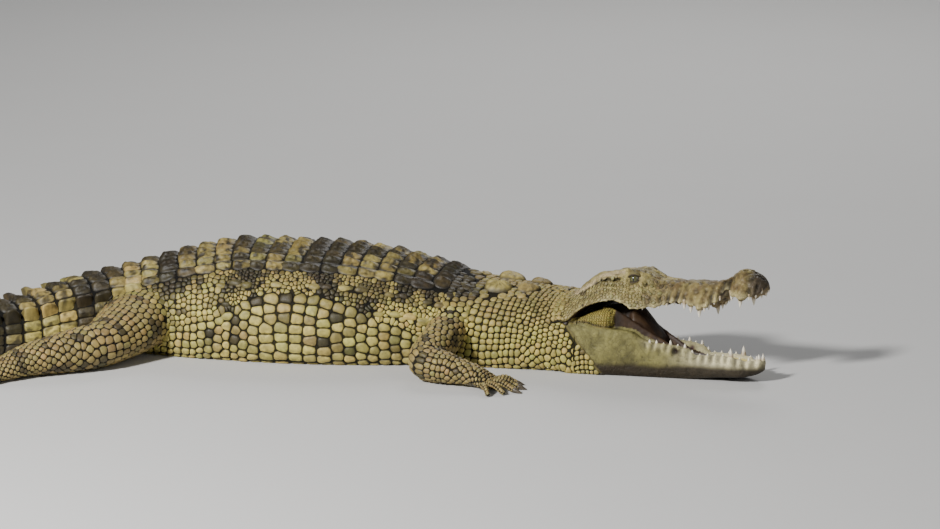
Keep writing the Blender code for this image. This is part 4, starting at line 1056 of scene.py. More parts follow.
# Bare skin: cracked on the jaws and skull, wet and folded in the mouth.
skin_material, shader, first, place = new_material("skin")
tint = first.attribute("tint", 0)
bare = first.attribute("bare")
wet = first.attribute("mouth")
grain = first.noise(place, 260.0, 5.0)
wear = first.noise(place, 60.0, 4.0)
warped = first.node("VectorMath", {"operation": "ADD"}, {0: place, 1: first.node(
    "VectorMath", {"operation": "SCALE"}, {0: first.node("TexNoise", None, {"Vector": place, "Scale": 40.0}, 1), "Scale": 0.012})})
cells = first.node("TexVoronoi", {"feature": "DISTANCE_TO_EDGE"}, {"Vector": warped, "Scale": 62.0})
small = first.node("TexVoronoi", {"feature": "DISTANCE_TO_EDGE"}, {"Vector": warped, "Scale": 150.0})
crack = (1 - cells.between(0.0, 0.05)) * bare
hair = (1 - small.between(0.0, 0.07)) * bare
shade = first.node("CombineColor", None, {0: 0.66 + 0.6 * wear, 1: 0.66 + 0.6 * wear, 2: 0.64 + 0.6 * wear})
base = first.node("Mix", {"data_type": "RGBA", "blend_type": "MULTIPLY"}, {0: 1.0, 6: tint, 7: shade}, 2)
base = (0.34 * crack + 0.18 * hair).blend(base, (0.07, 0.050, 0.028, 1.0))
height = grain * 0.4 + wear - 0.55 * crack - 0.35 * hair
rough = 0.90 - 0.42 * bare - 0.36 * wet + 0.2 * (grain - 0.5)
plug(shader, Base_Color=base, Roughness=rough, Normal=first.bump(height, 0.0016, 0.8))
shader.inputs["Specular IOR Level"].default_value = 0.30
skin.data.materials.clear()
skin.data.materials.append(skin_material)

# ---------------------------------------------------------------- coat of the trunk
# Four rows of keeled scutes on each side of the back, small scales below them, then large flat
# rectangles down the flank and across the belly.

rng = np.random.default_rng(8)
body_x = np.linspace(TAIL_TIP + 0.002, 0.825, 620)
ring = np.linspace(-math.pi / 2, 1.5 * math.pi, 512, endpoint=False)
body_points = section(np.repeat(body_x[:, None], 512, 1), ring[None], np.minimum(0.002, 0.3 * HALF_WIDTH(body_x))[:, None])
body_points[..., 2] = np.maximum(body_points[..., 2], 0.002)
body_sheet = Sheet(body_points, (0.0, 0.0), (1.0, 0.5))


def body_row(x):
    return (np.asarray(x) - body_x[0]) / (body_x[-1] - body_x[0]) * body_sheet.rows


def body_girth(x):
    return np.interp(body_row(x), np.arange(body_sheet.rows + 1), body_sheet.girth)


def body_column(x, from_top, side):
    """Column of the body sheet at a distance round from the back's midline."""
    return 128 - side * np.asarray(from_top) / body_girth(x) * 256


def walk(start, end, pitch):
    """Places from start to end spaced by a pitch that varies along the way."""
    places = [start]
    while places[-1] < end:
        places.append(places[-1] + pitch(places[-1]))
    return np.array(places)


BACK_PITCH = 0.0535
back = TAIL_FRONT + BACK_PITCH * (np.arange(17) + 0.5)
row_pitch = curve((-0.44, 0.023), (-0.31, 0.024), (-0.23, 0.030), (-0.15, 0.036), (0.0, 0.0395), (0.12, 0.039),
                  (0.21, 0.036), (0.32, 0.033), (0.45, 0.027))
line_pitch = curve((-0.44, 0.021), (-0.26, 0.0235), (-0.14, 0.0275), (0.14, 0.0280), (0.30, 0.026), (0.45, 0.024))
granules = curve((-0.44, 0.345), (-0.30, 0.33), (-0.20, 0.27), (-0.11, 0.19), (0.0, 0.150), (0.10, 0.165), (0.20, 0.22),
                 (0.30, 0.28), (0.42, 0.345))
for side, name in ((-1, "right"), (1, "left")):
    coat = Coat("coat_trunk_" + name)
    places = []
    for k, reach in enumerate((0.0225, 0.0675, 0.112, 0.155)):
        here = back if k < 3 else back[:-1]
        scale = np.clip((HALF_WIDTH(here) + 0.10) / 0.37, 0.55, 1)
        places.append(np.stack((here + rng.normal(0, 0.002, len(here)), reach * scale, np.full(len(here), 0.026),
                                np.full(len(here), 3.0 - 0.1 * k)), -1))
    big = []
    for line, share in enumerate((0.10, 0.22)):
        here = walk(-0.22, 0.42, lambda at: 0.047) + 0.016 * line
        here = here + rng.normal(0, 0.005, len(here))
        half = body_girth(here) / 2
        top = 0.178 * np.minimum(1.0, (HALF_WIDTH(here) + 0.10) / 0.37)
        reach = top + share * (half - top) + rng.normal(0, 0.003, len(here))
        kept = (rng.uniform(0, 1, len(here)) < 0.72) & (share < granules(here) - 0.03)
        big.append(np.stack((here, reach, rng.uniform(0.0085, 0.0125, len(here)), np.full(len(here), 2.0)), -1)[kept])
    big = np.concatenate(big)
    for x in walk(-0.44, 0.45, lambda at: float(row_pitch(at))):
        half = body_girth(x) / 2
        top = 0.178 * min(1.0, (HALF_WIDTH(x) + 0.10) / 0.37)
        low = top + float(granules(x)) * (half - top)
        number = max(4, round((half - low) / float(line_pitch(x))))
        reach = low + (np.arange(number) + 0.5 + rng.normal(0, 0.05, number)) * (half - low) / number
        place = x + rng.normal(0, 0.07, number) * row_pitch(x) + 0.010 * np.sin(reach * 11 + 3 * x) + 0.006 * np.sin(x * 9)
        size = row_pitch(x) * rng.uniform(0.40, 0.56, number)
        places.append(np.stack((place, reach, size, np.full(number, 1.0)), -1))
    for x in walk(-0.44, 0.45, lambda at: 0.0128 + 0.0030 * float(ease((-0.19 - at) / 0.05))):
        pitch = 0.0128 + 0.0030 * float(ease((-0.19 - x) / 0.05))
        half = body_girth(x) / 2
        top = 0.178 * min(1.0, (HALF_WIDTH(x) + 0.10) / 0.37)
        reach = np.arange(top + 0.006, top + (float(granules(x)) - 0.012) * (half - top), pitch) + rng.uniform(0, 0.5 * pitch)
        place = x + rng.normal(0, 0.0030, len(reach))
        reach = reach + rng.normal(0, 0.0018, len(reach))
        away = np.hypot((place[:, None] - big[:, 0]) / (1.6 * big[:, 2] + 0.0032), (reach[:, None] - big[:, 1]) / (big[:, 2] + 0.0032))
        clear = away.min(1) > 1
        size = pitch * rng.uniform(0.38, 0.62, len(reach)) * (1 + 0.35 * (reach > top + 0.24 * (half - top)))
        places.append(np.stack((place, reach, size, np.zeros(len(reach))), -1)[clear])
    places = np.concatenate(places)
    half = body_girth(np.array((0.464, -0.454))) / 2
    beyond = [np.stack((np.full(30, end), np.linspace(0.19, far, 30), np.full(30, 0.011)), -1)
              for end, far in zip((0.464, -0.454), half)]
    for end in (back[0] - BACK_PITCH, back[-1] + BACK_PITCH):
        scale = np.clip((HALF_WIDTH(end) + 0.10) / 0.37, 0.55, 1)
        beyond.append(np.stack((np.full(4, end), np.array((0.0225, 0.0675, 0.112, 0.155)) * scale, np.full(4, 0.026)), -1))
    near_top = places[:, 1] < 0.05
    beyond.append(places[near_top, :3] * (1, -1, 1))
    beyond = np.concatenate(beyond)
    every = np.concatenate((places[:, :3], beyond))
    x, reach, size, kind = places.T
    row, column = body_row(x), body_column(x, reach, side)
    groove = np.where(kind == 1, 0.0013, np.where(kind > 2, 0.0010, 0.0005))[:, None]
    fit = fitted(body_sheet, body_row(every[:, 0]), body_column(every[:, 0], every[:, 1], side), every[:, 2], 0.0)
    fit = np.maximum(fit[:len(places)] - groove, 0.0008)
    now = kind > 2
    keel = np.interp(3.0 - kind[now], (0.0, 0.1, 0.2, 0.3), (0.0150, 0.0135, 0.0140, 0.0110)) * rng.uniform(0.75, 1.15, now.sum())
    coat.add(body_sheet, row[now], column[now], 0.0262, 0.0216, SCUTE, 0.0042, keel, tail=0.2, jumble=0.03, tone=0.85,
             rough=0.0040, fit=fit[now], mottle=0.75)
    coat.add(body_sheet, body_row(big[:, 0]), body_column(big[:, 0], big[:, 1], side), big[:, 2] * 1.6, big[:, 2], PLATE,
             0.0052, 0.0030, 2.4, tail=0.1, jumble=0.07, rough=0.0014, mottle=0.3)
    now = kind == 1
    coat.add(body_sheet, row[now], column[now], size[now], size[now], PLATE, 0.0042, jumble=0.02, fit=fit[now], mottle=0.2)
    now = kind == 0
    coat.add(body_sheet, row[now], column[now], size[now], size[now], BEAD, 0.0030, jumble=0.04, fit=fit[now])
    coat.finish(hide)

# ---------------------------------------------------------------- coat of the neck
# Small raised beads in rings, larger and squarer below, with the tall ribbed nape scutes on top.

NAPE = ((0.575, 0.061, 0.040, 0.036), (0.656, 0.053, 0.031, 0.030), (0.602, 0.112, 0.014, 0.014),
        (0.655, 0.104, 0.013, 0.013), (0.496, 0.092, 0.017, 0.014), (0.484, 0.034, 0.020, 0.018),
        (0.553, 0.120, 0.013, 0.012), (0.745, 0.018, 0.012, 0.010), (0.742, 0.052, 0.012, 0.011))  # fmt: skip
s_of = np.linspace(-1, 1, 200, endpoint=False)
t_of = np.linspace(0.0, 0.20, 80)
grid_t, grid_s = (grid.ravel() for grid in np.meshgrid(t_of, s_of, indexing="ij"))
across, up = jaw(grid_t, np.abs(grid_s))
jaw_sheet = Sheet(placed(np.stack((grid_t, across * np.sign(grid_s), up), -1), JAW).reshape(80, 200, 3), (0.0, 0.55), (0.6, 0.4))
for side, name in ((-1, "right"), (1, "left")):
    coat = Coat("coat_neck_" + name)
    places = []
    for k, x in enumerate(walk(0.452, 0.835, lambda at: 0.0205 - 0.0065 * float(ease((at - 0.5) / 0.22)))):
        pitch = 0.0205 - 0.0065 * float(ease((x - 0.5) / 0.22))
        half = body_girth(x) / 2
        near = np.arange(0.004 + 0.5 * pitch * (k % 2), half * 0.56, pitch * 0.98)
        far = np.arange(near[-1] + 0.021, half, 0.0235)
        reach = np.concatenate((near, far))
        place = x + rng.normal(0, 0.0016, len(reach)) + 0.012 * np.sin(reach * 9 + 1)
        reach = reach + rng.normal(0, 0.0016, len(reach))
        size = np.concatenate((np.full(len(near), pitch * 0.5), np.full(len(far), 0.0105))) * rng.uniform(0.85, 1.15, len(reach))
        places.append(np.stack((place, reach, size, 0.0040 + 0.0 * reach), -1))
    x, reach, size, tall = np.concatenate(places).T
    row, column = body_row(x), body_column(x, reach, side)
    root, along, around, outward = body_sheet.frame(row, column)
    free = (zones(root)[1] < 0.5) & on_skin(root, outward, 0.011)[0]
    free &= uncrowded(root, 0.0105) | (x > 0.52)
    for nape_x, nape_y, nape_long, nape_wide in NAPE:
        free &= np.hypot((x - nape_x) / (nape_long + 0.004), (reach - nape_y) / (nape_wide + 0.004)) > 1.0
    row, column, size, x, root, reach = (v[free] for v in (row, column, size, x, root, reach))
    base = np.array([skin_tree.find_nearest(Vector(point))[0] for point in root])
    tree = KDTree(len(base))
    for k, point in enumerate(base):
        tree.insert(point, k)
    tree.balance()
    free = np.ones(len(base), bool)
    for k, point in enumerate(base):
        if free[k]:
            free[[found[1] for found in tree.find_range(point, 1.15 * size[k]) if found[1] != k]] = False
    row, column, size, x, base, reach = (v[free] for v in (row, column, size, x, base, reach))
    mirror = reach < 0.03
    both = [np.concatenate((value, value[mirror])) for value in (row, size)]
    across_row = body_sheet.frame(row[mirror], body_column(x, -reach, side)[mirror])[0]
    fit = fitted(body_sheet, both[0], np.concatenate((column, body_column(x, -reach, side)[mirror])), both[1], 0.0006, 1.4,
                 np.concatenate((base, across_row)))[:len(row)]
    coat.add(body_sheet, row, column, size, size, BEAD, 0.0042, jumble=0.03, fit=fit, reach=0.012)
    jaw_row, jaw_column = (grid.ravel() for grid in np.meshgrid(
        np.arange(1.5, jaw_sheet.rows, jaw_sheet.rows * 0.0125 / 0.20), np.arange(0, 256, 256 * 0.0135 / jaw_sheet.girth.mean()), indexing="ij"))
    jaw_row = np.clip(jaw_row + rng.normal(0, 0.5, len(jaw_row)), 0.5, None)
    near_jaw = jaw_sheet.at(jaw_row, jaw_column)
    local = placed(near_jaw, JAW.inverted())
    free = (zones(near_jaw)[1] < 0.4) & (local[:, 1] * side > 0.02) & (local[:, 2] < 0.100)
    free &= np.array([((base - point) ** 2).sum(1).min() for point in near_jaw]) > 0.0105**2
    jaw_row, jaw_column = jaw_row[free], jaw_column[free]
    fit = fitted(jaw_sheet, jaw_row, jaw_column, 0.0085, 0.0009, 1.25)
    coat.add(jaw_sheet, jaw_row, jaw_column, 0.009, 0.009, BEAD, 0.0036, jumble=0.03, fit=fit)
    nape = plate_shape(60, (0.22, 0.42, 0.62, 0.80, 0.92, 1.0))
    nape["h"] = nape["h"] * (1 + 0.09 * np.cos(15 * np.arctan2(nape["b"], nape["a"])) * (nape["r"] > 0.3) * (nape["r"] < 1))
    for few, shape in ((np.array(NAPE[:2]), nape), (np.array(NAPE[2:]), SCUTE)):
        coat.add(body_sheet, body_row(few[:, 0]), body_column(few[:, 0], few[:, 1], side), few[:, 2], few[:, 3], shape,
                 0.38 * few[:, 3], 0.28 * few[:, 3], 2.3, jumble=0.05, rough=0.0035, mottle=0.35)
    coat.finish(hide)

# ---------------------------------------------------------------- coat of the tail
# Rings of long plates lapping backwards, with a double saw-toothed crest that joins into one.

fin_a = np.linspace(1, -1, 9)
fin_b = np.array((-1.0, -0.55, -0.2, 0.0, 0.2, 0.55, 1.0))
fin_rise = np.interp(-fin_a, (-1, -0.75, -0.4, 0.1, 0.75, 1.0), (0.0, 0.48, 0.82, 1.0, 0.90, 0.0))
fin_slope = np.array((0.0, 0.30, 0.86, 1.0, 0.86, 0.30, 0.0))
grid_a, grid_b = np.meshgrid(fin_a, fin_b, indexing="ij")
edge_rows = (np.abs(grid_a) > 0.999) | (np.abs(grid_b) > 0.999)
FIN = {
    "a": (grid_a - 0.10 * fin_rise[:, None] * fin_slope).ravel(), "b": grid_b.ravel(),
    "r": np.where(edge_rows, 1.05, 0.25).ravel(), "h": (fin_rise[:, None] * fin_slope).ravel(), "plain": True,
    "faces": [(i * 7 + j, i * 7 + j + 1, i * 7 + j + 8, i * 7 + j + 7) for i in range(8) for j in range(6)],
}
shares = np.arange(WHORLS + 1) / WHORLS
EDGES = TAIL_FRONT + (TAIL_TIP - TAIL_FRONT) * (shares + 0.045 * shares * (1 - shares))
coat = Coat("coat_tail")
for k, (front, rear) in enumerate(zip(EDGES, EDGES[1:])):
    x, long = (front + rear) / 2, (front - rear) / 2
    half = body_girth(x) / 2
    crest = half * (26 / 90 if k < DOUBLE_WHORLS else 0.0)
    thick = min(max(0.0042, 0.115 * half), 0.021)
    height = 1.35 * float(CREST(rear)) * (1.0 + 0.25 * (k < 10))
    if k < DOUBLE_WHORLS:
        inner = crest - thick
        if inner > 0.008:
            number = max(1, round(inner / 0.042))
            reach = (np.arange(number) + 0.5) * inner / number
            for side in (-1, 1):
                coat.add(body_sheet, np.full(number, body_row(x)), body_column(x, reach, side), long * 0.985,
                         inner / number / 2 * 0.98, SCUTE, 0.0055, 0.0105, 4.5, tail=0.3, jumble=0.03, rough=0.0036, mottle=0.6)
        coat.add(body_sheet, [body_row(x)] * 2, body_column(x, np.array((crest, crest)), np.array((-1, 1))),
                 long * 0.97, thick, FIN, height, mottle=0.5)
    else:
        coat.add(body_sheet, [body_row(x)], [128.0], long * 0.98, thick * 0.8, FIN, height, mottle=0.5)
    begin = crest + thick
    for side in (-1, 1):
        number = max(3, round((half - begin) / 0.030))
        reach = begin + (np.arange(number) + 0.5) * (half - begin) / number
        wide = (half - begin) / number / 2 * 0.975
        upper = reach < begin + 0.55 * (half - begin)
        column = body_column(x, reach, side)
        coat.add(body_sheet, np.full(upper.sum(), body_row(x)), column[upper], long * 0.985, wide, SCUTE, 0.0046,
                 0.0022, 7.0, tail=0.45, jumble=0.02, rough=0.0024, mottle=0.5)
        for part in (-0.5, 0.5):
            coat.add(body_sheet, np.full((~upper).sum(), body_row(x + part * long)), column[~upper], long * 0.49, wide,
                     PLATE, 0.0034, 0.0, 5.5, tail=0.3, jumble=0.03, mottle=0.3)
coat.finish(hide)

# ---------------------------------------------------------------- coat of the legs and feet
# Lapping oval scales in rings that grow smaller to the wrist and ankle, and broad bands over the toes.

turns = np.linspace(-math.pi / 2, 1.5 * math.pi, 128, endpoint=False)
for limb, (joints, wide, thick, toes, inside) in LIMBS.items():
    share, points = limb_rings(joints, wide, thick, turns, 0.001)
    points[..., 2] = np.maximum(points[..., 2], 0.0015)
    sheet = Sheet(points, (0.0, 0.0), (0.78, 1.0), 128)
    coat = Coat("coat_" + limb)
    pitch_at = curve((-0.3, 0.020), (0.6, 0.021), (1.1, 0.0185), (1.5, 0.0160), (2.1, 0.0120), (3.0, 0.0100))
    if "fore" in limb:
        pitch_at = curve((-0.3, 0.018), (0.6, 0.020), (1.2, 0.0175), (1.6, 0.0130), (2.1, 0.0110), (3.0, 0.0095))
    at, k = 0.0, 0
    places = []
    while at < sheet.length[-1]:
        row = float(sheet.row_at(at))
        here = float(np.interp(row, np.arange(len(share)), share))
        pitch = float(pitch_at(here))
        girth = float(np.interp(row, np.arange(sheet.rows + 1), sheet.girth))
        band = float(ease((here - 1.75) / 0.3))
        broad = 0.85 * float(ease((here - 1.25) / 0.4)) if "fore" in limb else 0.65 * float(ease((here - 0.85) / 0.4))
        number = max(8, round(girth / (pitch * (1.02 + broad))))
        column = (np.arange(number) + 0.5 * (k % 2) + rng.normal(0, 0.06, number)) * 128 / number
        size = pitch * rng.uniform(0.45, 0.55, number)
        places.append(np.stack((row + rng.normal(0, 0.04, number), column, size, np.full(number, band)), -1))
        at += pitch * 0.95
        k += 1
    row, column, size, band = np.concatenate(places).T
    root, along, around, outward = sheet.frame(row, column)
    fit = fitted(sheet, row, column, size, 0.0007 - 0.0003 * band[:, None], 2.3)
    free = on_skin(root, outward, 0.020)[0] & uncrowded(root, 0.0100)
    row, column, size, band, fit = (v[free] for v in (row, column, size, band, fit))
    coat.add(sheet, row, column, size, size, BEAD, 0.0030 - 0.0008 * band, 0.0006, tail=0.25, reach=0.020, jumble=0.03,
             fit=fit)
    made_toes = toes_of(limb)[0]
    for k, (root, tip, radius) in enumerate(made_toes):
        rings = toe_rings(root, tip, radius - 0.0006, np.linspace(-math.pi / 2, 1.5 * math.pi, 48, endpoint=False))
        rings[..., 2] = np.maximum(rings[..., 2], 0.0012)
        toe_sheet = Sheet(rings, (0.80, 0.01 + 0.2 * k), (0.19, 0.18), 64)
        for at in np.arange(0.016, toe_sheet.length[-1] - 0.002, 0.0082):
            row = toe_sheet.row_at(at)
            girth = np.interp(row, np.arange(toe_sheet.rows + 1), toe_sheet.girth)
            coat.add(toe_sheet, [row], [32.0], 0.0040, girth * 0.17, BEAD, 0.0020, 0.0006, 4.0, tail=0.4)
            coat.add(toe_sheet, [row, row], [14.0, 50.0], 0.0038, girth * 0.10, BEAD, 0.0014, 0.0, 3.0, tail=0.3)
    coat.finish(hide)

# ---------------------------------------------------------------- coat of the head
# Low pebbles over the cheeks and behind the eyes, and rows of beads in the corners of the mouth.

x = np.linspace(-0.05, 0.566, 300)
s = np.linspace(-1, 1, 320, endpoint=False) + 1.0
grid_x, grid_s = np.meshgrid(x, np.where(s > 1, s - 2, s), indexing="ij")
across, up = skull(grid_x.ravel(), np.abs(grid_s.ravel()))
points = np.stack((grid_x.ravel(), across * np.sign(grid_s.ravel()), up), -1).reshape(300, 320, 3)
skull_sheet = Sheet(placed(points, HEAD), (0.0, 0.0), (1.0, 0.66))
coat = Coat("coat_head")
places = []
for x in walk(-0.03, 0.30, lambda at: 0.0088):
    row = (x + 0.05) / 0.616 * skull_sheet.rows
    girth = float(np.interp(row, np.arange(skull_sheet.rows + 1), skull_sheet.girth))
    number = round(girth / 0.0092)
    column = (np.arange(number) + rng.uniform(-0.34, 0.34, number) + rng.uniform(0, 1)) * 256 / number
    root = skull_sheet.at(np.full(number, row), column)
    local = placed(root, HEAD.inverted())
    up, lip, deck = local[:, 2], LIP(local[:, 0]), DECK_WIDTH(local[:, 0])
    side = np.abs(local[:, 1])
    free = (side > deck + 0.010) & (up > lip + 0.008) & (rng.uniform(0, 1, number) < 1.0 - 1.0 * max(x - 0.22, 0) / 0.08)
    free &= (relief(root) > -0.0045) & (marked(root)[2] < 0.5)
    free &= np.linalg.norm(np.stack((local[:, 0], side, up), -1) - EYE, axis=1) > 0.0275
    free &= zones(root)[1] < 0.5
    size = 0.0045 * rng.uniform(0.65, 1.40, number)
    places.append(np.stack((row + rng.uniform(-1.3, 1.3, number), column, size), -1)[free])
row, column, size = np.concatenate(places).T
coat.add(skull_sheet, row, column, size, size, BEAD, 0.0016, jumble=0.05, fit=fitted(skull_sheet, row, column, size, 0.0005, 1.35),
         blur=0.001)
for side in (-1, 1):
    u = np.linspace(0, 1, 60)[:, None]
    turns = np.linspace(0, 2 * math.pi, 80, endpoint=False)[None, :]
    t = 0.020 + 0.104 * u
    top = curve((0.0, 0.124), (0.02, 0.131), (0.05, 0.148), (0.10, 0.168), (0.15, 0.174))(t)
    low = JAW_TOP(t) - 0.004
    across, up = squircle(turns, 2.3)
    closing = np.sqrt(np.clip(1 - np.clip((u - 0.80) / 0.20, 0, 1) ** 2, 0.02, 1))
    inwards = JAW_WIDTH(t) - 0.036 + (0.026 * across - 0.10 * (top - low) * up) * closing
    ring_points = np.stack(np.broadcast_arrays(t, side * inwards, (top + low) / 2 + (top - low) / 2 * up * closing), -1)
    corner_sheet = Sheet(placed(ring_points, JAW), (0.5 * (side > 0), 0.68), (0.48, 0.31))
    places = []
    for k, at in enumerate(np.arange(0.0105, corner_sheet.length[-1] - 0.001, 0.0068)):
        row = corner_sheet.row_at(at)
        number = max(6, round(float(np.interp(row, np.arange(corner_sheet.rows + 1), corner_sheet.girth)) / 0.0068))
        column = (np.arange(number) + 0.1 * rng.normal(0, 1, number)) * 256 / number
        places.append(np.stack((row + 0.4 * rng.normal(0, 1, number), column), -1))
    row, column = np.concatenate(places).T
    fit = fitted(corner_sheet, row, column, 0.0035, 0.0005, 1.3)
    coat.add(corner_sheet, row, column, 0.0034, 0.0034, BEAD, 0.0016, jumble=0.03, fit=fit, blur=0.0)
coat.finish(hide)

# ---------------------------------------------------------------- teeth
# Curved ivory pegs with stained roots, sunk into the gums of both jaws.


def spike(bm, base, axis, bow, length, radius, flat=1.0, spokes=12, rings=9, taper=1.5):
    """A closed peg from base along axis, bowed and tapered to a point."""
    axis = Vector(axis).normalized()
    across = axis.orthogonal().normalized()
    third = axis.cross(across)
    before = None
    loops = []
    for k in range(rings):
        u = k / (rings - 1)
        middle = Vector(base) + axis * (length * u) + Vector(bow) * (u * u)
        thick = radius * (1 - 0.93 * u**taper) * (math.sqrt(max(0.0, 1 - (max(u - 0.8, 0) / 0.2) ** 2)) * 0.98 + 0.02)
        loops.append([bm.verts.new(middle + (across * math.cos(turn) + third * math.sin(turn) * flat) * thick)
                      for turn in np.arange(spokes) * 2 * math.pi / spokes])
    for before, after in zip(loops, loops[1:]):
        for k in range(spokes):
            bm.faces.new((before[k], before[(k + 1) % spokes], after[(k + 1) % spokes], after[k]))
    bm.faces.new(loops[0][::-1])
    bm.faces.new(loops[-1])


ivory, shader, first, place = new_material("ivory")
length_along = first.attribute("along")
grain = first.noise(place, 420.0, 4.0)
streak = first.noise(place, 120.0, 3.0)
stain = (1 - length_along.between(0.28, 0.75)) * (0.5 + 0.7 * streak)
colour_wire = stain.blend((0.78, 0.72, 0.58, 1.0), (0.40, 0.29, 0.15, 1.0))
plug(shader, Base_Color=colour_wire, Roughness=0.22 + 0.25 * grain, Normal=first.bump(grain + streak, 0.0004, 0.5))

for name, rows, matrix, down in (("teeth_upper", UPPER_TEETH, HEAD, -1), ("teeth_lower", LOWER_TEETH, JAW, 1)):
    bm = bmesh.new()
    for side in (-1, 1):
        for at, length in rows:
            across = (SKULL_WIDTH(at) - 0.008) if down < 0 else (JAW_WIDTH(at) - 0.009)
            gum = (LIP(at) + 0.001) if down < 0 else (JAW_TOP(at) - 0.001)
            radius = (0.0036 + 0.15 * length) if down < 0 else (0.0044 + 0.13 * length)
            base = matrix @ Vector((at, side * across, gum - 0.009 * down))
            axis = matrix.to_3x3() @ Vector((0, side * 0.10 * length, down * (length + 0.009)))
            bow = matrix.to_3x3() @ Vector((-0.12 * length, 0, 0))
            spike(bm, base, axis, bow, length + 0.009, radius, taper=1.9)
    bmesh.ops.recalc_face_normals(bm, faces=bm.faces)
    mesh = bpy.data.meshes.new(name)
    bm.to_mesh(mesh)
    bm.free()
    mesh.shade_smooth()
    mesh.materials.append(ivory)
    attribute(mesh, "along", np.tile(np.repeat(np.linspace(0, 1, 9), 12), 2 * len(rows)))
    teeth = bpy.data.objects.new(name, mesh)
    bpy.context.scene.collection.objects.link(teeth)
    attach(teeth, "root")

# ---------------------------------------------------------------- claws
# Blunt dark horn on the inner three toes of each foot.

horn, shader, first, place = new_material("horn")
grain = first.noise(place, 300.0, 4.0)
ridges = first.noise(first.node("Mapping", None, {"Vector": place, "Scale": (40.0, 40.0, 400.0)}), 3.0, 3.0)
colour_wire = grain.between(0.3, 0.7).blend((0.035, 0.028, 0.020, 1.0), (0.12, 0.095, 0.06, 1.0))
plug(shader, Base_Color=colour_wire, Roughness=0.25 + 0.3 * grain, Normal=first.bump(ridges, 0.0005, 0.6))
for limb in LIMBS:
    foot = limb.replace("leg", "foot")
    for k, (root, tip, radius) in enumerate(toes_of(limb)[0][:3]):
        rings = toe_rings(root, tip, radius, np.array((0.0, math.pi)))
        middle = rings.mean(1)
        way = middle[-1] - middle[-3]
        way /= np.linalg.norm(way)
        bm = bmesh.new()
        spike(bm, tip - way * 0.006, way, (0, 0, -0.30 * radius * 2.0), radius * 1.85 + 0.006, radius * 0.64, 1.0, 14, 9, 1.5)
        for vert in bm.verts:
            vert.co.z = max(vert.co.z, 0.0005)
        bmesh.ops.recalc_face_normals(bm, faces=bm.faces)
        name = f"claw_{foot}_{k + 1}"
        mesh = bpy.data.meshes.new("horn_" + name)
        bm.to_mesh(mesh)
        bm.free()
        mesh.shade_smooth()
        mesh.materials.append(horn)
        claw = bpy.data.objects.new("horn_" + name, mesh)
        bpy.context.scene.collection.objects.link(claw)
        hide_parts(name)
        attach(claw, "root")

# ---------------------------------------------------------------- eyes and lids
# A ball with a slit pupil under a clear bulge, set deep between two thick lids.

iris, shader, first, place = new_material("eye")
gaze_x, gaze_y, gaze_z = (first.attribute(name) for name in ("gaze_x", "gaze_y", "gaze_z"))
away = (gaze_x * gaze_x + gaze_y * gaze_y) ** 0.5
fleck = first.noise(place, 900.0, 4.0)
gold = (fleck * 0.6 + away * 0.9 - 0.2).between(0.0, 1.0).blend((0.115, 0.11, 0.035, 1.0), (0.030, 0.030, 0.012, 1.0))
pupil = 1 - (abs(gaze_x) + gaze_y * gaze_y * 0.25).between(0.10, 0.16)
seen = pupil.blend(gold, (0.004, 0.004, 0.003, 1.0))
seen = away.between(0.60, 0.68).blend(seen, (0.05, 0.035, 0.022, 1.0))
plug(shader, Base_Color=seen, Roughness=0.16 + 0.08 * fleck, Normal=first.bump(fleck, 0.00005, 0.2))
shader.inputs["Coat Weight"].default_value = 0.6
shader.inputs["Coat Roughness"].default_value = 0.12
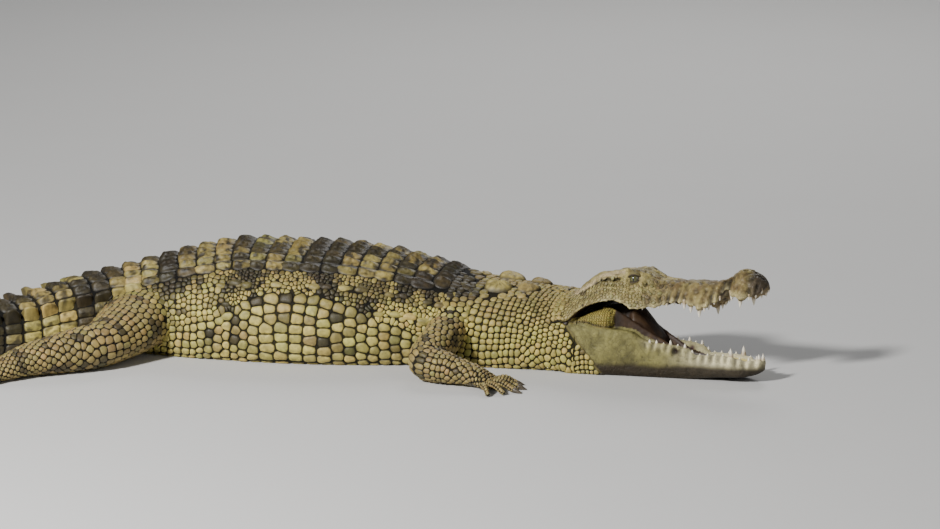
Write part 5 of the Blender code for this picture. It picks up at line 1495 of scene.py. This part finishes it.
for side, name in ((-1, "right"), (1, "left")):
    centre = HEAD @ Vector((EYE[0], side * EYE[1], EYE[2]))
    gaze = (HEAD.to_3x3() @ Vector((0.16, side * 0.97, 0.08))).normalized()
    level = (HEAD.to_3x3() @ Vector((1, 0, 0)))
    level = (level - gaze * level.dot(gaze)).normalized()
    upward = gaze.cross(level) * (1 if side < 0 else -1)
    upward = upward if upward.z > 0 else -upward
    turn = Matrix((level, upward, gaze)).transposed()
    bm = bmesh.new()
    bmesh.ops.create_uvsphere(bm, u_segments=48, v_segments=36, radius=1.0)
    flat = np.array([vert.co[:] for vert in bm.verts])
    for vert in bm.verts:
        out = vert.co.copy()
        reach = EYE_RADIUS * 0.985 + 0.0010 * float(hump(math.hypot(out.x, out.y), 0.5)) * (out.z > 0)
        vert.co = centre + turn @ (out * reach)
    if turn.determinant() < 0:
        bmesh.ops.reverse_faces(bm, faces=bm.faces)
    mesh = bpy.data.meshes.new("ball_" + name)
    bm.to_mesh(mesh)
    bm.free()
    for axis, label in enumerate(("gaze_x", "gaze_y", "gaze_z")):
        attribute(mesh, label, flat[:, axis] + 2.0 * (flat[:, 2] < 0) * (axis == 0))
    mesh.shade_smooth()
    mesh.materials.append(iris)
    ball = bpy.data.objects.new("ball_" + name, mesh)
    bpy.context.scene.collection.objects.link(ball)
    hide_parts("eye_" + name)
    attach(ball, "root")

    bm = bmesh.new()
    rows = []
    for k in range(16):
        row = []
        for turn_at in np.arange(64) * 2 * math.pi / 64:
            c, s = math.cos(turn_at), math.sin(turn_at)
            opening = math.radians(((abs(c) / 62) ** 1.7 + (abs(s) / (22 if s > 0 else 25)) ** 1.7) ** (-1 / 1.7))
            if k < 3:
                polar, reach = opening + 0.01 * k, EYE_RADIUS + (0.0002, 0.0016, 0.0030)[k]
            else:
                u = (k - 2) / 13
                polar = opening + (math.radians(112) - opening) * u
                reach = EYE_RADIUS + 0.0034 + 0.0011 * float(hump(u - 0.12, 0.10)) - 0.0030 * u * u
                reach += 0.0026 * max(0.0, s) * float(hump(u - 0.22, 0.2))
                reach += 0.00045 * math.sin(u * 26 + 2 * c) * (1 - u)
            direction = Vector((c * math.sin(polar), s * math.sin(polar), math.cos(polar)))
            row.append(bm.verts.new(centre + turn @ (direction * reach)))
        rows.append(row)
    for before, after in zip(rows, rows[1:]):
        for k in range(64):
            bm.faces.new((before[k], before[(k + 1) % 64], after[(k + 1) % 64], after[k]))
    bmesh.ops.recalc_face_normals(bm, faces=bm.faces)
    mesh = bpy.data.meshes.new("lids_" + name)
    bm.to_mesh(mesh)
    bm.free()
    points = np.array([vert.co[:] for vert in mesh.vertices])
    tint = marked(points)[0]
    ring_of = np.repeat(np.arange(16), 64)
    tint = mix(np.broadcast_to(HEAD_SKIN * 0.75, tint.shape), tint, (ring_of - 4) / 8)
    tint = mix(tint, np.array([(0.045, 0.032, 0.022)]), (ring_of < 4) * 0.9)
    tint *= (0.80 + 0.25 * np.cos(ring_of * 1.9))[:, None]
    attribute(mesh, "tint", tint)
    attribute(mesh, "bare", np.full(len(points), 0.5))
    attribute(mesh, "mouth", np.zeros(len(points)))
    mesh.shade_smooth()
    mesh.materials.append(skin_material)
    lids = bpy.data.objects.new("lids_" + name, mesh)
    bpy.context.scene.collection.objects.link(lids)
    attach(lids, "root")

# ---------------------------------------------------------------- floor, light and camera

bm = bmesh.new()
bmesh.ops.create_grid(bm, x_segments=2, y_segments=2, size=30.0)
floor_mesh = bpy.data.meshes.new("floor")
bm.to_mesh(floor_mesh)
bm.free()
floor = bpy.data.objects.new("floor", floor_mesh)
bpy.context.scene.collection.objects.link(floor)
pale_floor, shader, first, place = new_material("floor")
speck = first.noise(place, 3.0, 3.0)
plug(shader, Base_Color=(speck * 0.2).blend((0.62, 0.61, 0.59, 1.0), (0.55, 0.54, 0.52, 1.0)), Roughness=0.8 + 0.1 * speck)
floor_mesh.materials.append(pale_floor)


def lamp(name, place, target, size, watts):
    light = bpy.data.lights.new(name, "AREA")
    light.shape = "DISK"
    light.size = size
    light.energy = watts
    made = bpy.data.objects.new(name, light)
    made.location = place
    made.rotation_euler = (Vector(target) - Vector(place)).to_track_quat("-Z", "Y").to_euler()
    bpy.context.scene.collection.objects.link(made)


lamp("key", (-3.6, -4.6, 4.0), (0.2, -0.2, 0.1), 0.9, 760)
lamp("fill", (4.5, -4.0, 3.0), (0.4, 0.0, 0.1), 4.0, 45)
lamp("back", (1.5, 5.0, 4.0), (0.3, 0.0, 0.1), 3.0, 140)
world = bpy.data.worlds.new("studio")
world.use_nodes = True
world.node_tree.nodes["Background"].inputs[0].default_value = (0.80, 0.84, 0.90, 1.0)
world.node_tree.nodes["Background"].inputs[1].default_value = 0.13
bpy.context.scene.world = world

tilt = math.radians(13.0)
look = Vector((0, math.cos(tilt), -math.sin(tilt)))
camera_data = bpy.data.cameras.new("camera")
camera_data.lens = 273.6
camera_data.sensor_width = 36.0
camera_data.clip_end = 100.0
camera = bpy.data.objects.new("camera", camera_data)
camera.location = Vector((0.476, -0.15, 0.2688)) - look * 20.0
camera.rotation_euler = look.to_track_quat("-Z", "Y").to_euler()
bpy.context.scene.collection.objects.link(camera)
bpy.context.scene.camera = camera
